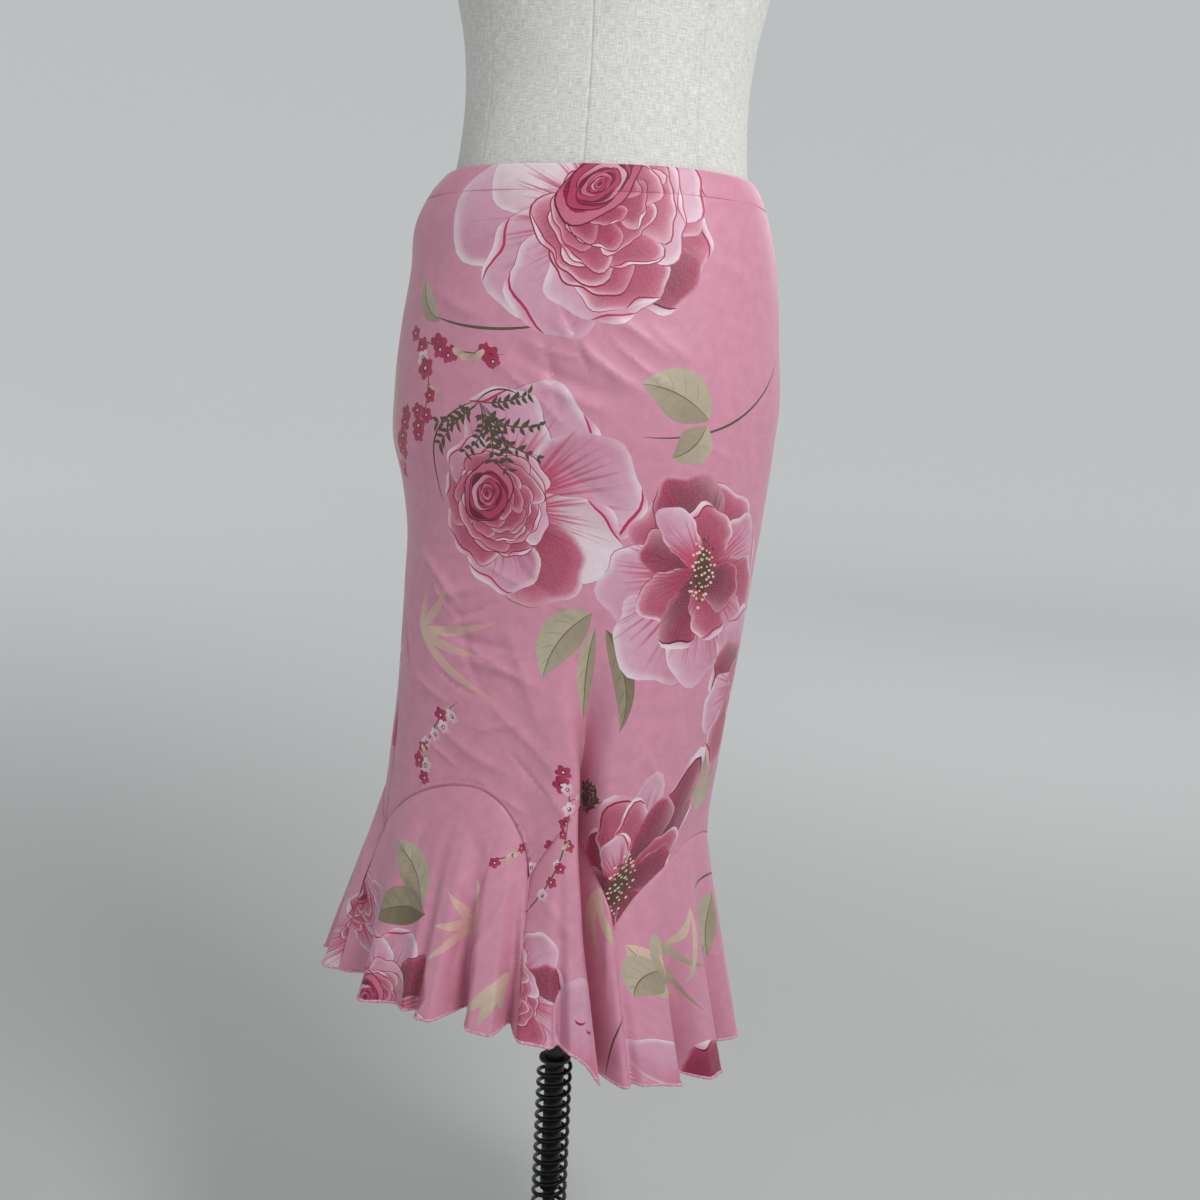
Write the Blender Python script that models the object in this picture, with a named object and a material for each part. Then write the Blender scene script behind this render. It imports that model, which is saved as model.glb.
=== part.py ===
"""A mermaid midi skirt worn on a limbless dress form, which stands on a sprung pole and a round base.

Metres, +Z up, origin at the centre of the base's underside. The form's front faces -Y and its right-hand side
as seen from the front is +X. Angles round the skirt run from 0 at the front towards +X.
"""

from collections import namedtuple

import bmesh
import bpy
import numpy as np

# ---------------------------------------------------------------- driving sizes
GAP = 0.0003            # between pieces that touch or are sewn together
WALL = 0.0013           # the satin, with its folds' bulk
TURNED_WALL = 0.0022    # where the waist edge is turned in and sewn
TURNED_DEPTH = 0.020    # height of the turned waist edge
HEM_WALL = 0.0016       # where the hem is rolled
HEM_DEPTH = 0.004       # height of the rolled hem
MEAN_RADIUS = 0.14      # of the skirt, for turning an angle into a length

WAIST_FRONT = 1.031     # height of the skirt's waist edge at the front
WAIST_SIDE = 1.041      # and at the sides and back
PANEL_ROUNDNESS = 2.12  # exponent of the skirt's oval sections

FRONT_SEAM = -88.0      # the side seam where the angles round the cloth start

Level = namedtuple("Level", "height half_width half_depth centre_x centre_y twist")
# The tube of cloth over the hips and down to the knee, and on to the hem. Twist is how far the bias cut
# has turned the cloth round the form, in degrees.
BODY_LEVELS = (
    Level(0.320, 0.1450, 0.1200, -0.0265, 0.004, 25.0),
    Level(0.450, 0.1425, 0.1160, -0.0235, 0.004, 24.0),
    Level(0.515, 0.1400, 0.1130, -0.0185, 0.004, 22.0),
    Level(0.600, 0.1405, 0.1090, -0.0095, 0.004, 17.0),
    Level(0.690, 0.1445, 0.1070, -0.0020, 0.005, 11.0),
    Level(0.755, 0.1480, 0.1085, 0.0020, 0.006, 6.0),
    Level(0.790, 0.1525, 0.1120, 0.0010, 0.007, 4.0),
    Level(0.825, 0.1590, 0.1170, -0.0020, 0.008, 2.0),
    Level(0.865, 0.1600, 0.1185, -0.0005, 0.008, 0.0),
    Level(0.915, 0.1565, 0.1165, 0.0000, 0.008, 0.0),
    Level(0.960, 0.1510, 0.1110, 0.0015, 0.006, 0.0),
    Level(1.000, 0.1450, 0.1040, 0.0000, 0.003, 0.0),
    Level(1.020, 0.1365, 0.1000, 0.0020, 0.002, 0.0),
    Level(1.042, 0.1212, 0.0962, 0.0055, 0.001, 0.0),
)

# Six arches of the scalloped seam, from the side seam round the front. Each row: where its first foot is on
# the cloth, that foot's height, the arch's top and how far along the arch its top lies.
Arch = namedtuple("Arch", "name start foot top top_at")
ARCHES = (
    Arch("front_left", -88.0, 0.500, 0.553, 0.64),
    Arch("front_middle", -32.0, 0.486, 0.543, 0.50),
    Arch("front_right", 28.0, 0.451, 0.508, 0.54),
    Arch("back_right", 90.0, 0.457, 0.518, 0.50),
    Arch("back_middle", 150.0, 0.470, 0.532, 0.50),
    Arch("back_left", 212.0, 0.488, 0.549, 0.50),
)
LAST_START = 272.0
ARCH_FULLNESS = 0.78    # below 1 rounds the arches' shoulders

Hem = namedtuple("Hem", "angle height")
HEM_HEIGHTS = (
    Hem(-88.0, 0.376), Hem(-62.0, 0.386), Hem(-40.0, 0.388), Hem(-20.0, 0.373), Hem(0.0, 0.354),
    Hem(15.0, 0.343), Hem(33.0, 0.340), Hem(51.0, 0.322), Hem(64.0, 0.316), Hem(80.0, 0.326),
    Hem(110.0, 0.327), Hem(150.0, 0.332), Hem(190.0, 0.344), Hem(230.0, 0.360), Hem(260.0, 0.372),
    Hem(272.0, 0.376),
)
HEM_HALF_WIDTH = 0.183
HEM_HALF_DEPTH = 0.168
HEM_CENTRE_X = -0.0265
HEM_CENTRE_Y = 0.002

# Hollows between the flounce's waves: the angle on the cloth, the depth at the hem and the half width.
Hollow = namedtuple("Hollow", "angle depth half_angle")
HEM_HOLLOWS = (
    Hollow(-88.0, 0.044, 8.0), Hollow(-62.0, 0.018, 8.0), Hollow(-44.0, 0.046, 7.5),
    Hollow(-31.0, 0.032, 6.5), Hollow(28.0, 0.030, 6.5), Hollow(43.0, 0.042, 7.5),
    Hollow(60.0, 0.046, 8.0), Hollow(76.0, 0.032, 7.5), Hollow(91.0, 0.042, 8.0),
    Hollow(106.0, 0.034, 7.5), Hollow(121.0, 0.044, 8.0), Hollow(136.0, 0.031, 7.5),
    Hollow(150.0, 0.040, 7.5), Hollow(167.0, 0.044, 8.5), Hollow(183.0, 0.033, 8.0),
    Hollow(198.0, 0.042, 8.0), Hollow(212.0, 0.036, 7.5), Hollow(228.0, 0.044, 8.5),
    Hollow(243.0, 0.033, 7.5), Hollow(257.0, 0.042, 7.5),
)
HOLLOW_GROWTH = 1.15    # how a wave deepens from the seam to the hem

# The one deep fold, from above the knee to the hem. Cloth gathers into it, so the cloth's angles close up.
Fold = namedtuple("Fold", "height angle depth half_angle")
DEEP_FOLD = (
    Fold(0.320, 19.0, 0.052, 10.0),
    Fold(0.380, 18.0, 0.050, 11.0),
    Fold(0.460, 12.0, 0.044, 15.0),
    Fold(0.540, 7.0, 0.034, 18.0),
    Fold(0.600, 6.0, 0.018, 20.0),
    Fold(0.650, 6.0, 0.006, 20.0),
    Fold(0.700, 6.0, 0.000, 20.0),
    Fold(1.050, 6.0, 0.000, 20.0),
)
GATHER_ANGLE = 15.0     # how far the cloth beside the fold is drawn towards it, in degrees
GATHER_CENTRE = 3.0
GATHER_SPREAD = 30.0
GATHER_LOW = 0.560      # full below this height
GATHER_HIGH = 0.720     # none above it
FOLD_COLUMN = 13.0      # the column of mesh that runs along the fold's floor
FOLD_REACH = 15.0       # how far round it the columns lean with the fold

# Soft folds of the body that show from a step away: centre on the cloth, upper and lower height, how far
# the fold leans over its length in degrees, its depth (a ridge is negative) and its half width in degrees.
Crease = namedtuple("Crease", "angle high low lean depth half_angle")
BODY_CREASES = (
    Crease(-24.0, 0.700, 0.440, 4.0, -0.0070, 14.0),
    Crease(30.0, 0.680, 0.430, -6.0, -0.0075, 15.0),
    Crease(-62.0, 0.640, 0.470, 2.0, 0.0045, 16.0),
    Crease(62.0, 0.690, 0.440, -4.0, 0.0060, 14.0),
    Crease(122.0, 0.720, 0.430, -5.0, 0.0070, 16.0),
    Crease(152.0, 0.700, 0.430, -3.0, -0.0060, 14.0),
    Crease(186.0, 0.740, 0.430, 4.0, 0.0085, 17.0),
    Crease(222.0, 0.710, 0.440, 3.0, -0.0060, 15.0),
    Crease(250.0, 0.700, 0.450, 2.0, 0.0055, 14.0),
)

ARCH_COLUMNS = 20       # of mesh, over each arch
COLUMN_STEP = 3.0       # about, between columns, in degrees
SHARPEST = 0.55         # limits how much longer the normals grow at a bend
BODY_ROWS, FLOUNCE_ROWS = 14, 6
FLOUNCE_LENGTH = 0.165  # about, from seam to hem

# The dress form, whole, from its flat underside to the top of its neck.
Section = namedtuple("Section", "height half_width half_depth centre_x centre_y")
FORM_SECTIONS = (
    Section(0.822, 0.1490, 0.1075, 0.0000, 0.008),
    Section(0.830, 0.1530, 0.1115, 0.0000, 0.008),
    Section(0.865, 0.1555, 0.1140, 0.0000, 0.008),
    Section(0.915, 0.1510, 0.1115, 0.0005, 0.008),
    Section(0.960, 0.1430, 0.1055, 0.0015, 0.006),
    Section(1.000, 0.1320, 0.0990, 0.0030, 0.003),
    Section(1.040, 0.1190, 0.0935, 0.0052, 0.001),
    Section(1.070, 0.1155, 0.0905, 0.0062, 0.000),
    Section(1.100, 0.1145, 0.0895, 0.0070, -0.001),
    Section(1.140, 0.1175, 0.0935, 0.0078, -0.002),
    Section(1.180, 0.1255, 0.1000, 0.0082, -0.004),
    Section(1.220, 0.1345, 0.1090, 0.0085, -0.008),
    Section(1.245, 0.1390, 0.1143, 0.0085, -0.010),
    Section(1.268, 0.1415, 0.1162, 0.0085, -0.010),
    Section(1.290, 0.1425, 0.1145, 0.0085, -0.009),
    Section(1.315, 0.1435, 0.1090, 0.0085, -0.006),
    Section(1.348, 0.1465, 0.0985, 0.0085, -0.001),
    Section(1.385, 0.1570, 0.0860, 0.0085, 0.005),
    Section(1.420, 0.1690, 0.0750, 0.0085, 0.009),
    Section(1.442, 0.1640, 0.0660, 0.0085, 0.012),
    Section(1.458, 0.1370, 0.0600, 0.0085, 0.014),
    Section(1.474, 0.1010, 0.0565, 0.0085, 0.015),
    Section(1.490, 0.0730, 0.0545, 0.0085, 0.014),
    Section(1.508, 0.0590, 0.0525, 0.0085, 0.011),
    Section(1.530, 0.0545, 0.0505, 0.0085, 0.008),
    Section(1.550, 0.0535, 0.0495, 0.0085, 0.006),
)
FORM_ROUNDNESS = 2.15
FORM_SIDES = 40
ARM_PLANE = 0.1470      # distance of the flat arm faces from the form's middle
ARM_TILT = 0.16         # how far those faces lean in towards the neck, as a slope

# The stand
BASE_RADIUS, BASE_HEIGHT, BASE_EDGE = 0.210, 0.014, 0.005
HUB_FOOT_RADIUS, HUB_TOP_RADIUS, HUB_TOP = 0.034, 0.018, 0.060
ROD_RADIUS, ROD_TOP = 0.0055, 0.620
POLE_RADIUS, POLE_BORE, POLE_FOOT = 0.0085, 0.0066, 0.172
POLE_CAP = 0.004        # thickness of its closed top
SPRING_RADIUS, WIRE_RADIUS, SPRING_PITCH = 0.0140, 0.0016, 0.0100
SPRING_FOOT, SPRING_TOP = 0.0622, 0.2900
SPRING_POINTS = 9       # to a turn
COLLAR_RADIUS, COLLAR_HEIGHT = 0.0138, 0.003
SOCKET_RADIUS, SOCKET_BORE, SOCKET_FOOT = 0.0145, 0.0092, 0.778
ROUND_SIDES = 24
BASE_SIDES = 48

COLOURS = {
    "satin": ((0.72, 0.30, 0.41), 0.55, 0.0),
    "linen": ((0.74, 0.72, 0.66), 0.85, 0.0),
    "black_enamel": ((0.015, 0.015, 0.016), 0.42, 0.0),
    "black_spring": ((0.03, 0.03, 0.03), 0.35, 0.9),
}


# ---------------------------------------------------------------- helpers
def clear_scene():
    for item in list(bpy.data.objects):
        bpy.data.objects.remove(item, do_unlink=True)


def material(name):
    found = bpy.data.materials.get(name)
    if found:
        return found
    colour, roughness, metallic = COLOURS[name]
    made = bpy.data.materials.new(name)
    made.use_nodes = True
    shader = made.node_tree.nodes["Principled BSDF"]
    shader.inputs["Base Color"].default_value = (*colour, 1.0)
    shader.inputs["Roughness"].default_value = roughness
    shader.inputs["Metallic"].default_value = metallic
    made.diffuse_color = (*colour, 1.0)
    return made


def place(name, form, finish, sharp=np.radians(40)):
    """Makes the object from a bmesh, shaded smooth but for edges over the given angle."""
    bmesh.ops.recalc_face_normals(form, faces=form.faces)
    mesh = bpy.data.meshes.new(name)
    form.to_mesh(mesh)
    form.free()
    mesh.shade_smooth()
    mesh.set_sharp_from_angle(angle=sharp)
    mesh.materials.append(material(finish))
    made = bpy.data.objects.new(name, mesh)
    bpy.context.scene.collection.objects.link(made)
    return made


def read(table, column, at, key="height"):
    """A column of a table at any key, on a smooth curve through its rows."""
    x = np.array([getattr(row, key) for row in table])
    y = np.array([getattr(row, column) for row in table])
    slope = np.gradient(y, x)
    at = np.clip(at, x[0], x[-1])
    i = np.clip(np.searchsorted(x, at) - 1, 0, len(x) - 2)
    step = x[i + 1] - x[i]
    u = (at - x[i]) / step
    rise = (2 * u**3 - 3 * u**2 + 1) * y[i] + (3 * u**2 - 2 * u**3) * y[i + 1]
    return rise + step * ((u**3 - 2 * u**2 + u) * slope[i] + (u**3 - u**2) * slope[i + 1])


def ease(low, high, at):
    u = np.clip((at - low) / (high - low), 0, 1)
    return u * u * (3 - 2 * u)


def hump(distance, half):
    """1 at distance 0, falling smoothly to 0 at half."""
    return np.where(np.abs(distance) < half, np.cos(np.pi / 2 * distance / half) ** 2, 0.0)


def oval(angle, half_width, half_depth, roundness):
    """Distance from an oval's centre to its edge, at an angle from its front."""
    across = np.abs(np.sin(angle) / half_width) ** roundness
    along = np.abs(np.cos(angle) / half_depth) ** roundness
    return (across + along) ** (-1 / roundness)


def round_trip(angle):
    """The same angle, between the front side seam and one turn further on."""
    return (angle - FRONT_SEAM) % 360 + FRONT_SEAM


# ---------------------------------------------------------------- the skirt's cut
def seam_height(angle):
    """Height of the scalloped seam."""
    starts = np.array([arch.start for arch in ARCHES] + [LAST_START])
    feet = np.array([arch.foot for arch in ARCHES] + [ARCHES[0].foot])
    tops = np.array([arch.top for arch in ARCHES])
    top_at = np.array([arch.top_at for arch in ARCHES])
    angle = round_trip(angle)
    i = np.clip(np.searchsorted(starts, angle, side="right") - 1, 0, len(ARCHES) - 1)
    u = (angle - starts[i]) / (starts[i + 1] - starts[i])
    foot = feet[i] + (feet[i + 1] - feet[i]) * u
    middle = feet[i] + (feet[i + 1] - feet[i]) * top_at[i]
    bent = np.where(u < top_at[i], 0.5 * u / top_at[i], 0.5 + 0.5 * (u - top_at[i]) / (1 - top_at[i]))
    return foot + (tops[i] - middle) * np.sin(np.pi * np.clip(bent, 0, 1)) ** ARCH_FULLNESS


def seam_gap(angle):
    """Half the seam's gap, measured upright where the seam runs at a slope."""
    step = 0.4
    slope = (seam_height(angle + step) - seam_height(angle - step)) / (MEAN_RADIUS * np.radians(2 * step))
    return GAP / 2 * np.sqrt(1 + np.minimum(slope**2, 16))


def waist_height(angle):
    front = 0.5 + 0.5 * np.cos(np.radians(angle))
    return WAIST_SIDE + (WAIST_FRONT - WAIST_SIDE) * front


def hem_height(angle):
    return read(HEM_HEIGHTS, "height", round_trip(angle), key="angle")


def turned(angle, height):
    """Where a point of the cloth lies round the form, in radians: twisted, and gathered to the fold."""
    q = (angle - GATHER_CENTRE) / GATHER_SPREAD
    gather = 1 - ease(GATHER_LOW, GATHER_HIGH, height)
    shift = -GATHER_ANGLE * q * np.exp(0.5 - q * q / 2) * gather
    return np.radians(angle + read(BODY_LEVELS, "twist", height) + shift)


def fold_depth(angle, height):
    depth = read(DEEP_FOLD, "depth", height)
    centre = read(DEEP_FOLD, "angle", height)
    half = read(DEEP_FOLD, "half_angle", height)
    return np.maximum(depth, 0) * hump(angle - centre, half)


def crease_depth(angle, height):
    total = np.zeros(np.broadcast(angle, height).shape)
    for crease in BODY_CREASES:
        along = np.clip((crease.high - height) / (crease.high - crease.low), 0, 1)
        centre = crease.angle + crease.lean * along
        total = total + crease.depth * ease(0, 1, along) * hump(angle - centre, crease.half_angle)
    return total


def along_fold(angle, height):
    """Leans the columns of mesh near the deep fold, so that one runs along its floor."""
    lean = (read(DEEP_FOLD, "angle", height) - FOLD_COLUMN) * (1 - ease(GATHER_LOW, GATHER_HIGH, height))
    return angle + lean * hump(angle - FOLD_COLUMN, FOLD_REACH)


def body_point(angle, height):
    """A point of the body's outer face: the angle is on the cloth, from the front's middle."""
    where = turned(angle, height)
    half_width = read(BODY_LEVELS, "half_width", height)
    half_depth = read(BODY_LEVELS, "half_depth", height)
    out = oval(where, half_width, half_depth, PANEL_ROUNDNESS)
    out = out - fold_depth(angle, height) - crease_depth(angle, height)
    x = read(BODY_LEVELS, "centre_x", height) + out * np.sin(where)
    y = read(BODY_LEVELS, "centre_y", height) - out * np.cos(where)
    return np.stack([x, y, height + 0 * x], -1)


def panel_point(angle, down):
    """The body by how far down it is, from 0 at the waist edge to 1 at the seam."""
    angle = along_fold(angle, waist_height(angle) + (seam_height(angle) - waist_height(angle)) * down)
    top = waist_height(angle)
    low = seam_height(angle) + seam_gap(angle)
    return body_point(angle, top + (low - top) * down)


def flounce_point(angle, down):
    """A point of a flounce's outer face, from 0 at the seam to 1 at the hem."""
    angle = along_fold(angle, seam_height(angle) + (hem_height(angle) - seam_height(angle)) * down)
    top = seam_height(angle) - seam_gap(angle)
    height = top + (hem_height(angle) - top) * down
    start = body_point(angle, top)
    where = turned(angle, height)
    out = oval(where, HEM_HALF_WIDTH, HEM_HALF_DEPTH, PANEL_ROUNDNESS)
    out = out - fold_depth(angle, height)
    for hollow in HEM_HOLLOWS:
        away = (angle - hollow.angle + 180) % 360 - 180
        out = out - hollow.depth * down**HOLLOW_GROWTH * hump(away, hollow.half_angle)
    low_x = HEM_CENTRE_X + out * np.sin(where)
    low_y = HEM_CENTRE_Y - out * np.cos(where)
    x = start[..., 0] + (low_x - start[..., 0]) * down
    y = start[..., 1] + (low_y - start[..., 1]) * down
    return np.stack([x, y, height], -1)


def outward(along, across):
    normal = np.cross(along, across)
    return normal / np.linalg.norm(normal, axis=-1, keepdims=True)


def facing(point, angle, down):
    """Normals of the outer face at the mesh's corners, longer at sharp bends to keep the wall's thickness."""
    drop = 1e-3
    along = point(angle, np.clip(down + drop, 0, 1)) - point(angle, np.clip(down - drop, 0, 1))
    here = point(angle, down)
    before = outward(along, here - point(angle - COLUMN_STEP, down))
    after = outward(along, point(angle + COLUMN_STEP, down) - here)
    normal = before + after
    normal = normal / np.linalg.norm(normal, axis=-1, keepdims=True)
    return normal / np.maximum((normal * after).sum(-1, keepdims=True), SHARPEST)


def flounce_facing(point, angle, down):
    """The same, but a flounce's top edge faces as the body's edge does, so that the two stay parted."""
    normal = facing(point, angle, down)
    normal[0] = facing(panel_point, angle[0], np.ones(angle.shape[1]))
    return normal


def wall(name, point, normals, angles, downs, thickness):
    """A closed wall of cloth between an outer face and one moved in along its normals."""
    angle, down = np.meshgrid(angles, downs)
    outer = point(angle, down)
    inner = outer - normals(point, angle, down) * thickness(angle, down)[..., None]
    for side in (outer, inner):
        for edge, beside in ((0, 1), (-1, -2)):
            inward = side[:, beside] - side[:, edge]
            side[:, edge] += inward * (GAP / 2 / np.linalg.norm(inward, axis=-1, keepdims=True))
    form = bmesh.new()
    out, back = [[[form.verts.new(p) for p in row] for row in side] for side in (outer, inner)]
    last_row, last_column = angle.shape[0] - 1, angle.shape[1] - 1
    falling = np.linalg.norm(outer[1:, 1:] - outer[:-1, :-1], axis=-1)
    rising = np.linalg.norm(outer[1:, :-1] - outer[:-1, 1:], axis=-1)
    # Both faces of the wall are split along the outer one's shorter diagonals, so that they stay parallel.
    for i in range(last_row):
        for j in range(last_column):
            corners = [(i, j), (i + 1, j), (i + 1, j + 1), (i, j + 1)]
            if rising[i, j] < falling[i, j]:
                corners = corners[1:] + corners[:1]
            for three in (corners[:3], [corners[0], *corners[2:]]):
                form.faces.new([out[a][b] for a, b in three])
                form.faces.new([back[a][b] for a, b in reversed(three)])
    # The rims' diagonals all run the same way, so that the rims of two sewn pieces match.
    for i in (0, last_row):
        for j in range(last_column):
            form.faces.new([out[i][j], out[i][j + 1], back[i][j + 1]])
            form.faces.new([out[i][j], back[i][j + 1], back[i][j]])
    for j in (0, last_column):
        for i in range(last_row):
            form.faces.new([out[i][j], out[i + 1][j], back[i + 1][j]])
            form.faces.new([out[i][j], back[i + 1][j], back[i][j]])
    return place(name, form, "satin", sharp=np.radians(70))


def columns(arches):
    """Angles of the columns over these arches, the same for the body and the flounces sewn to it."""
    starts = [arch.start for arch in ARCHES] + [LAST_START]
    spans = [np.linspace(starts[i], starts[i + 1], ARCH_COLUMNS + 1) for i in arches]
    return np.unique(np.round(np.concatenate(spans), 6))


def body_thickness(angle, down):
    drop = down * (waist_height(angle) - seam_height(angle))
    return np.where(drop < TURNED_DEPTH + 1e-6, TURNED_WALL, WALL)


def flounce_thickness(angle, down):
    return np.where(down > 0.999, HEM_WALL, WALL) + 0 * angle


def skirt():
    edge = TURNED_DEPTH / (WAIST_SIDE - ARCHES[0].foot)
    downs = np.concatenate([[0, edge], np.linspace(edge * 1.35, 1, BODY_ROWS - 1)])
    wall("body_front", panel_point, facing, columns(range(0, 3)), downs, body_thickness)
    wall("body_back", panel_point, facing, columns(range(3, 6)), downs, body_thickness)
    downs = np.append(np.linspace(0, 1 - HEM_DEPTH / FLOUNCE_LENGTH, FLOUNCE_ROWS), 1)
    for i, arch in enumerate(ARCHES):
        wall("flounce_" + arch.name, flounce_point, flounce_facing, columns([i]), downs, flounce_thickness)


# ---------------------------------------------------------------- the dress form
def dress_form():
    """Ovals bridged from the underside to the neck, then cut flat where the arms would be."""
    form = bmesh.new()
    turns = np.linspace(0, 2 * np.pi, FORM_SIDES, endpoint=False)
    rings = []
    for section in FORM_SECTIONS:
        out = oval(turns, section.half_width, section.half_depth, FORM_ROUNDNESS)
        x = section.centre_x + out * np.sin(turns)
        y = section.centre_y - out * np.cos(turns)
        rings.append([form.verts.new((a, b, section.height)) for a, b in zip(x, y)])
    for low, high in zip(rings, rings[1:]):
        for j in range(FORM_SIDES):
            k = (j + 1) % FORM_SIDES
            form.faces.new([low[j], low[k], high[k], high[j]])
    form.faces.new(rings[0][::-1])
    form.faces.new(rings[-1])
    middle = FORM_SECTIONS[-1].centre_x
    shoulder = 1.40
    for side in (1, -1):
        cut = bmesh.ops.bisect_plane(
            form, geom=[*form.verts, *form.edges, *form.faces], dist=1e-5,
            plane_co=(middle + side * ARM_PLANE, 0, shoulder), plane_no=(side, 0, ARM_TILT), clear_outer=True)
        edges = [item for item in cut["geom_cut"] if isinstance(item, bmesh.types.BMEdge)]
        bmesh.ops.edgenet_fill(form, edges=edges)
    bmesh.ops.remove_doubles(form, verts=form.verts, dist=2e-4)
    bmesh.ops.triangulate(form, faces=form.faces)
    return place("dress_form", form, "linen")


# ---------------------------------------------------------------- the stand
def turned_piece(name, profile, finish, sides=ROUND_SIDES):
    """Spins a closed outline of (radius, height) corners about the pole's axis."""
    form = bmesh.new()
    rings = []
    for k in range(sides):
        turn = 2 * np.pi * k / sides
        rings.append([form.verts.new((r * np.cos(turn), r * np.sin(turn), h)) for r, h in profile])
    for ring, following in zip(rings, rings[1:] + rings[:1]):
        for i in range(len(profile)):
            j = (i + 1) % len(profile)
            form.faces.new([ring[i], following[i], following[j], ring[j]])
    bmesh.ops.remove_doubles(form, verts=form.verts, dist=1e-6)
    bmesh.ops.dissolve_degenerate(form, edges=form.edges, dist=1e-6)
    return place(name, form, finish)


def coil_spring():
    """The spring's wire as a bevelled curve: a helix worked out turn by turn."""
    turns = (SPRING_TOP - SPRING_FOOT - 2 * WIRE_RADIUS) / SPRING_PITCH
    count = int(turns * SPRING_POINTS) + 1
    curve = bpy.data.curves.new("coil_spring", "CURVE")
    curve.dimensions = "3D"
    curve.bevel_depth = WIRE_RADIUS
    curve.bevel_resolution = 1
    curve.use_fill_caps = True
    line = curve.splines.new("POLY")
    line.points.add(count - 1)
    for i, spot in enumerate(line.points):
        turn = 2 * np.pi * i / SPRING_POINTS
        height = SPRING_FOOT + WIRE_RADIUS + SPRING_PITCH * i / SPRING_POINTS
        spot.co = (SPRING_RADIUS * np.cos(turn), SPRING_RADIUS * np.sin(turn), height, 1)
    curve.materials.append(material("black_spring"))
    made = bpy.data.objects.new("coil_spring", curve)
    bpy.context.scene.collection.objects.link(made)
    return made


def stand():
    top = BASE_HEIGHT
    turned_piece("base_plate", [
        (0, 0), (BASE_RADIUS - 0.002, 0), (BASE_RADIUS, 0.002), (BASE_RADIUS, top - BASE_EDGE),
        (BASE_RADIUS - 0.3 * BASE_EDGE, top - 0.3 * BASE_EDGE), (BASE_RADIUS - BASE_EDGE, top), (0, top),
    ], "black_enamel", BASE_SIDES)
    foot = BASE_HEIGHT + GAP
    turned_piece("base_hub", [
        (0, foot), (HUB_FOOT_RADIUS, foot), (HUB_FOOT_RADIUS, foot + 0.006),
        (HUB_TOP_RADIUS + 0.003, foot + 0.014), (HUB_TOP_RADIUS, HUB_TOP - 0.002),
        (HUB_TOP_RADIUS - 0.002, HUB_TOP), (0, HUB_TOP),
    ], "black_enamel")
    turned_piece("guide_rod", [
        (0, HUB_TOP + GAP), (ROD_RADIUS, HUB_TOP + GAP), (ROD_RADIUS, ROD_TOP), (0, ROD_TOP),
    ], "black_enamel")
    coil_spring()
    pole_top = FORM_SECTIONS[0].height - GAP
    turned_piece("pole_tube", [
        (POLE_BORE, POLE_FOOT), (POLE_RADIUS, POLE_FOOT), (POLE_RADIUS, pole_top), (0, pole_top),
        (0, pole_top - POLE_CAP), (POLE_BORE, pole_top - POLE_CAP),
    ], "black_enamel")
    collar_foot = SPRING_TOP + GAP
    turned_piece("spring_collar", [
        (POLE_RADIUS + GAP, collar_foot), (COLLAR_RADIUS, collar_foot),
        (COLLAR_RADIUS, collar_foot + COLLAR_HEIGHT), (POLE_RADIUS + GAP, collar_foot + COLLAR_HEIGHT),
    ], "black_enamel")
    turned_piece("pole_socket", [
        (SOCKET_BORE, SOCKET_FOOT), (SOCKET_RADIUS, SOCKET_FOOT),
        (SOCKET_RADIUS, pole_top), (SOCKET_BORE, pole_top),
    ], "black_enamel")


clear_scene()
skirt()
dress_form()
stand()
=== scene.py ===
import math
import random

import bpy
import numpy as np
from mathutils import Matrix, Vector
from mathutils.geometry import delaunay_2d_cdt


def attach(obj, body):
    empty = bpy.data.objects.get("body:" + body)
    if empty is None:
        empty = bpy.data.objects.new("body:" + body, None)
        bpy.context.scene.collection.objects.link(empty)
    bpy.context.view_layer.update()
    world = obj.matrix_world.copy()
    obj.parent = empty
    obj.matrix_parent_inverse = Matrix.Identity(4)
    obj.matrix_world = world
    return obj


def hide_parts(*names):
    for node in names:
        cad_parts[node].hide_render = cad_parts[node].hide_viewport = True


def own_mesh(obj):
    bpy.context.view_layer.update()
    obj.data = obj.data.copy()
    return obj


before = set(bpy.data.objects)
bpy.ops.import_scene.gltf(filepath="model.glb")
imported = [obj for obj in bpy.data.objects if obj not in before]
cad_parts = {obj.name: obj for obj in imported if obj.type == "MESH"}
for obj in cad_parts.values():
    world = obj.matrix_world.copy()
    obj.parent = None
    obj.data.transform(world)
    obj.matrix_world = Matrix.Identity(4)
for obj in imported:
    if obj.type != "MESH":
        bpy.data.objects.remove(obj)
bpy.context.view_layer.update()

print("frame loaded")


def linear(hexColour):
    parts = [int(hexColour[i:i + 2], 16) / 255 for i in (1, 3, 5)]
    return np.array([c / 12.92 if c <= 0.04045 else ((c + 0.055) / 1.055) ** 2.4 for c in parts])


def addNode(tree, kind, inputs={}, **settings):
    node = tree.nodes.new("ShaderNode" + kind)
    for key, value in settings.items():
        setattr(node, key, value)
    for key, value in inputs.items():
        if isinstance(value, bpy.types.NodeSocket):
            tree.links.new(value, node.inputs[key])
        else:
            node.inputs[key].default_value = value
    return node


def opaque(hexColour):
    return (*linear(hexColour), 1.0)


def newMaterial(name, **settings):
    # settings are the shader's own inputs, with _ for a space
    made = bpy.data.materials.new(name)
    made.use_nodes = True
    shader = made.node_tree.nodes["Principled BSDF"]
    for key, value in settings.items():
        shader.inputs[key.replace("_", " ")].default_value = value
    return made, made.node_tree, shader


def perMetre(millimetres):
    # a pattern's scale, from the real distance between its threads, grains or blots
    return 1000 / millimetres


def ramp(low, high, at):
    # 0 below low, 1 above high, smooth between
    u = np.clip((at - low) / (high - low), 0, 1)
    return u * u * (3 - 2 * u)


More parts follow.
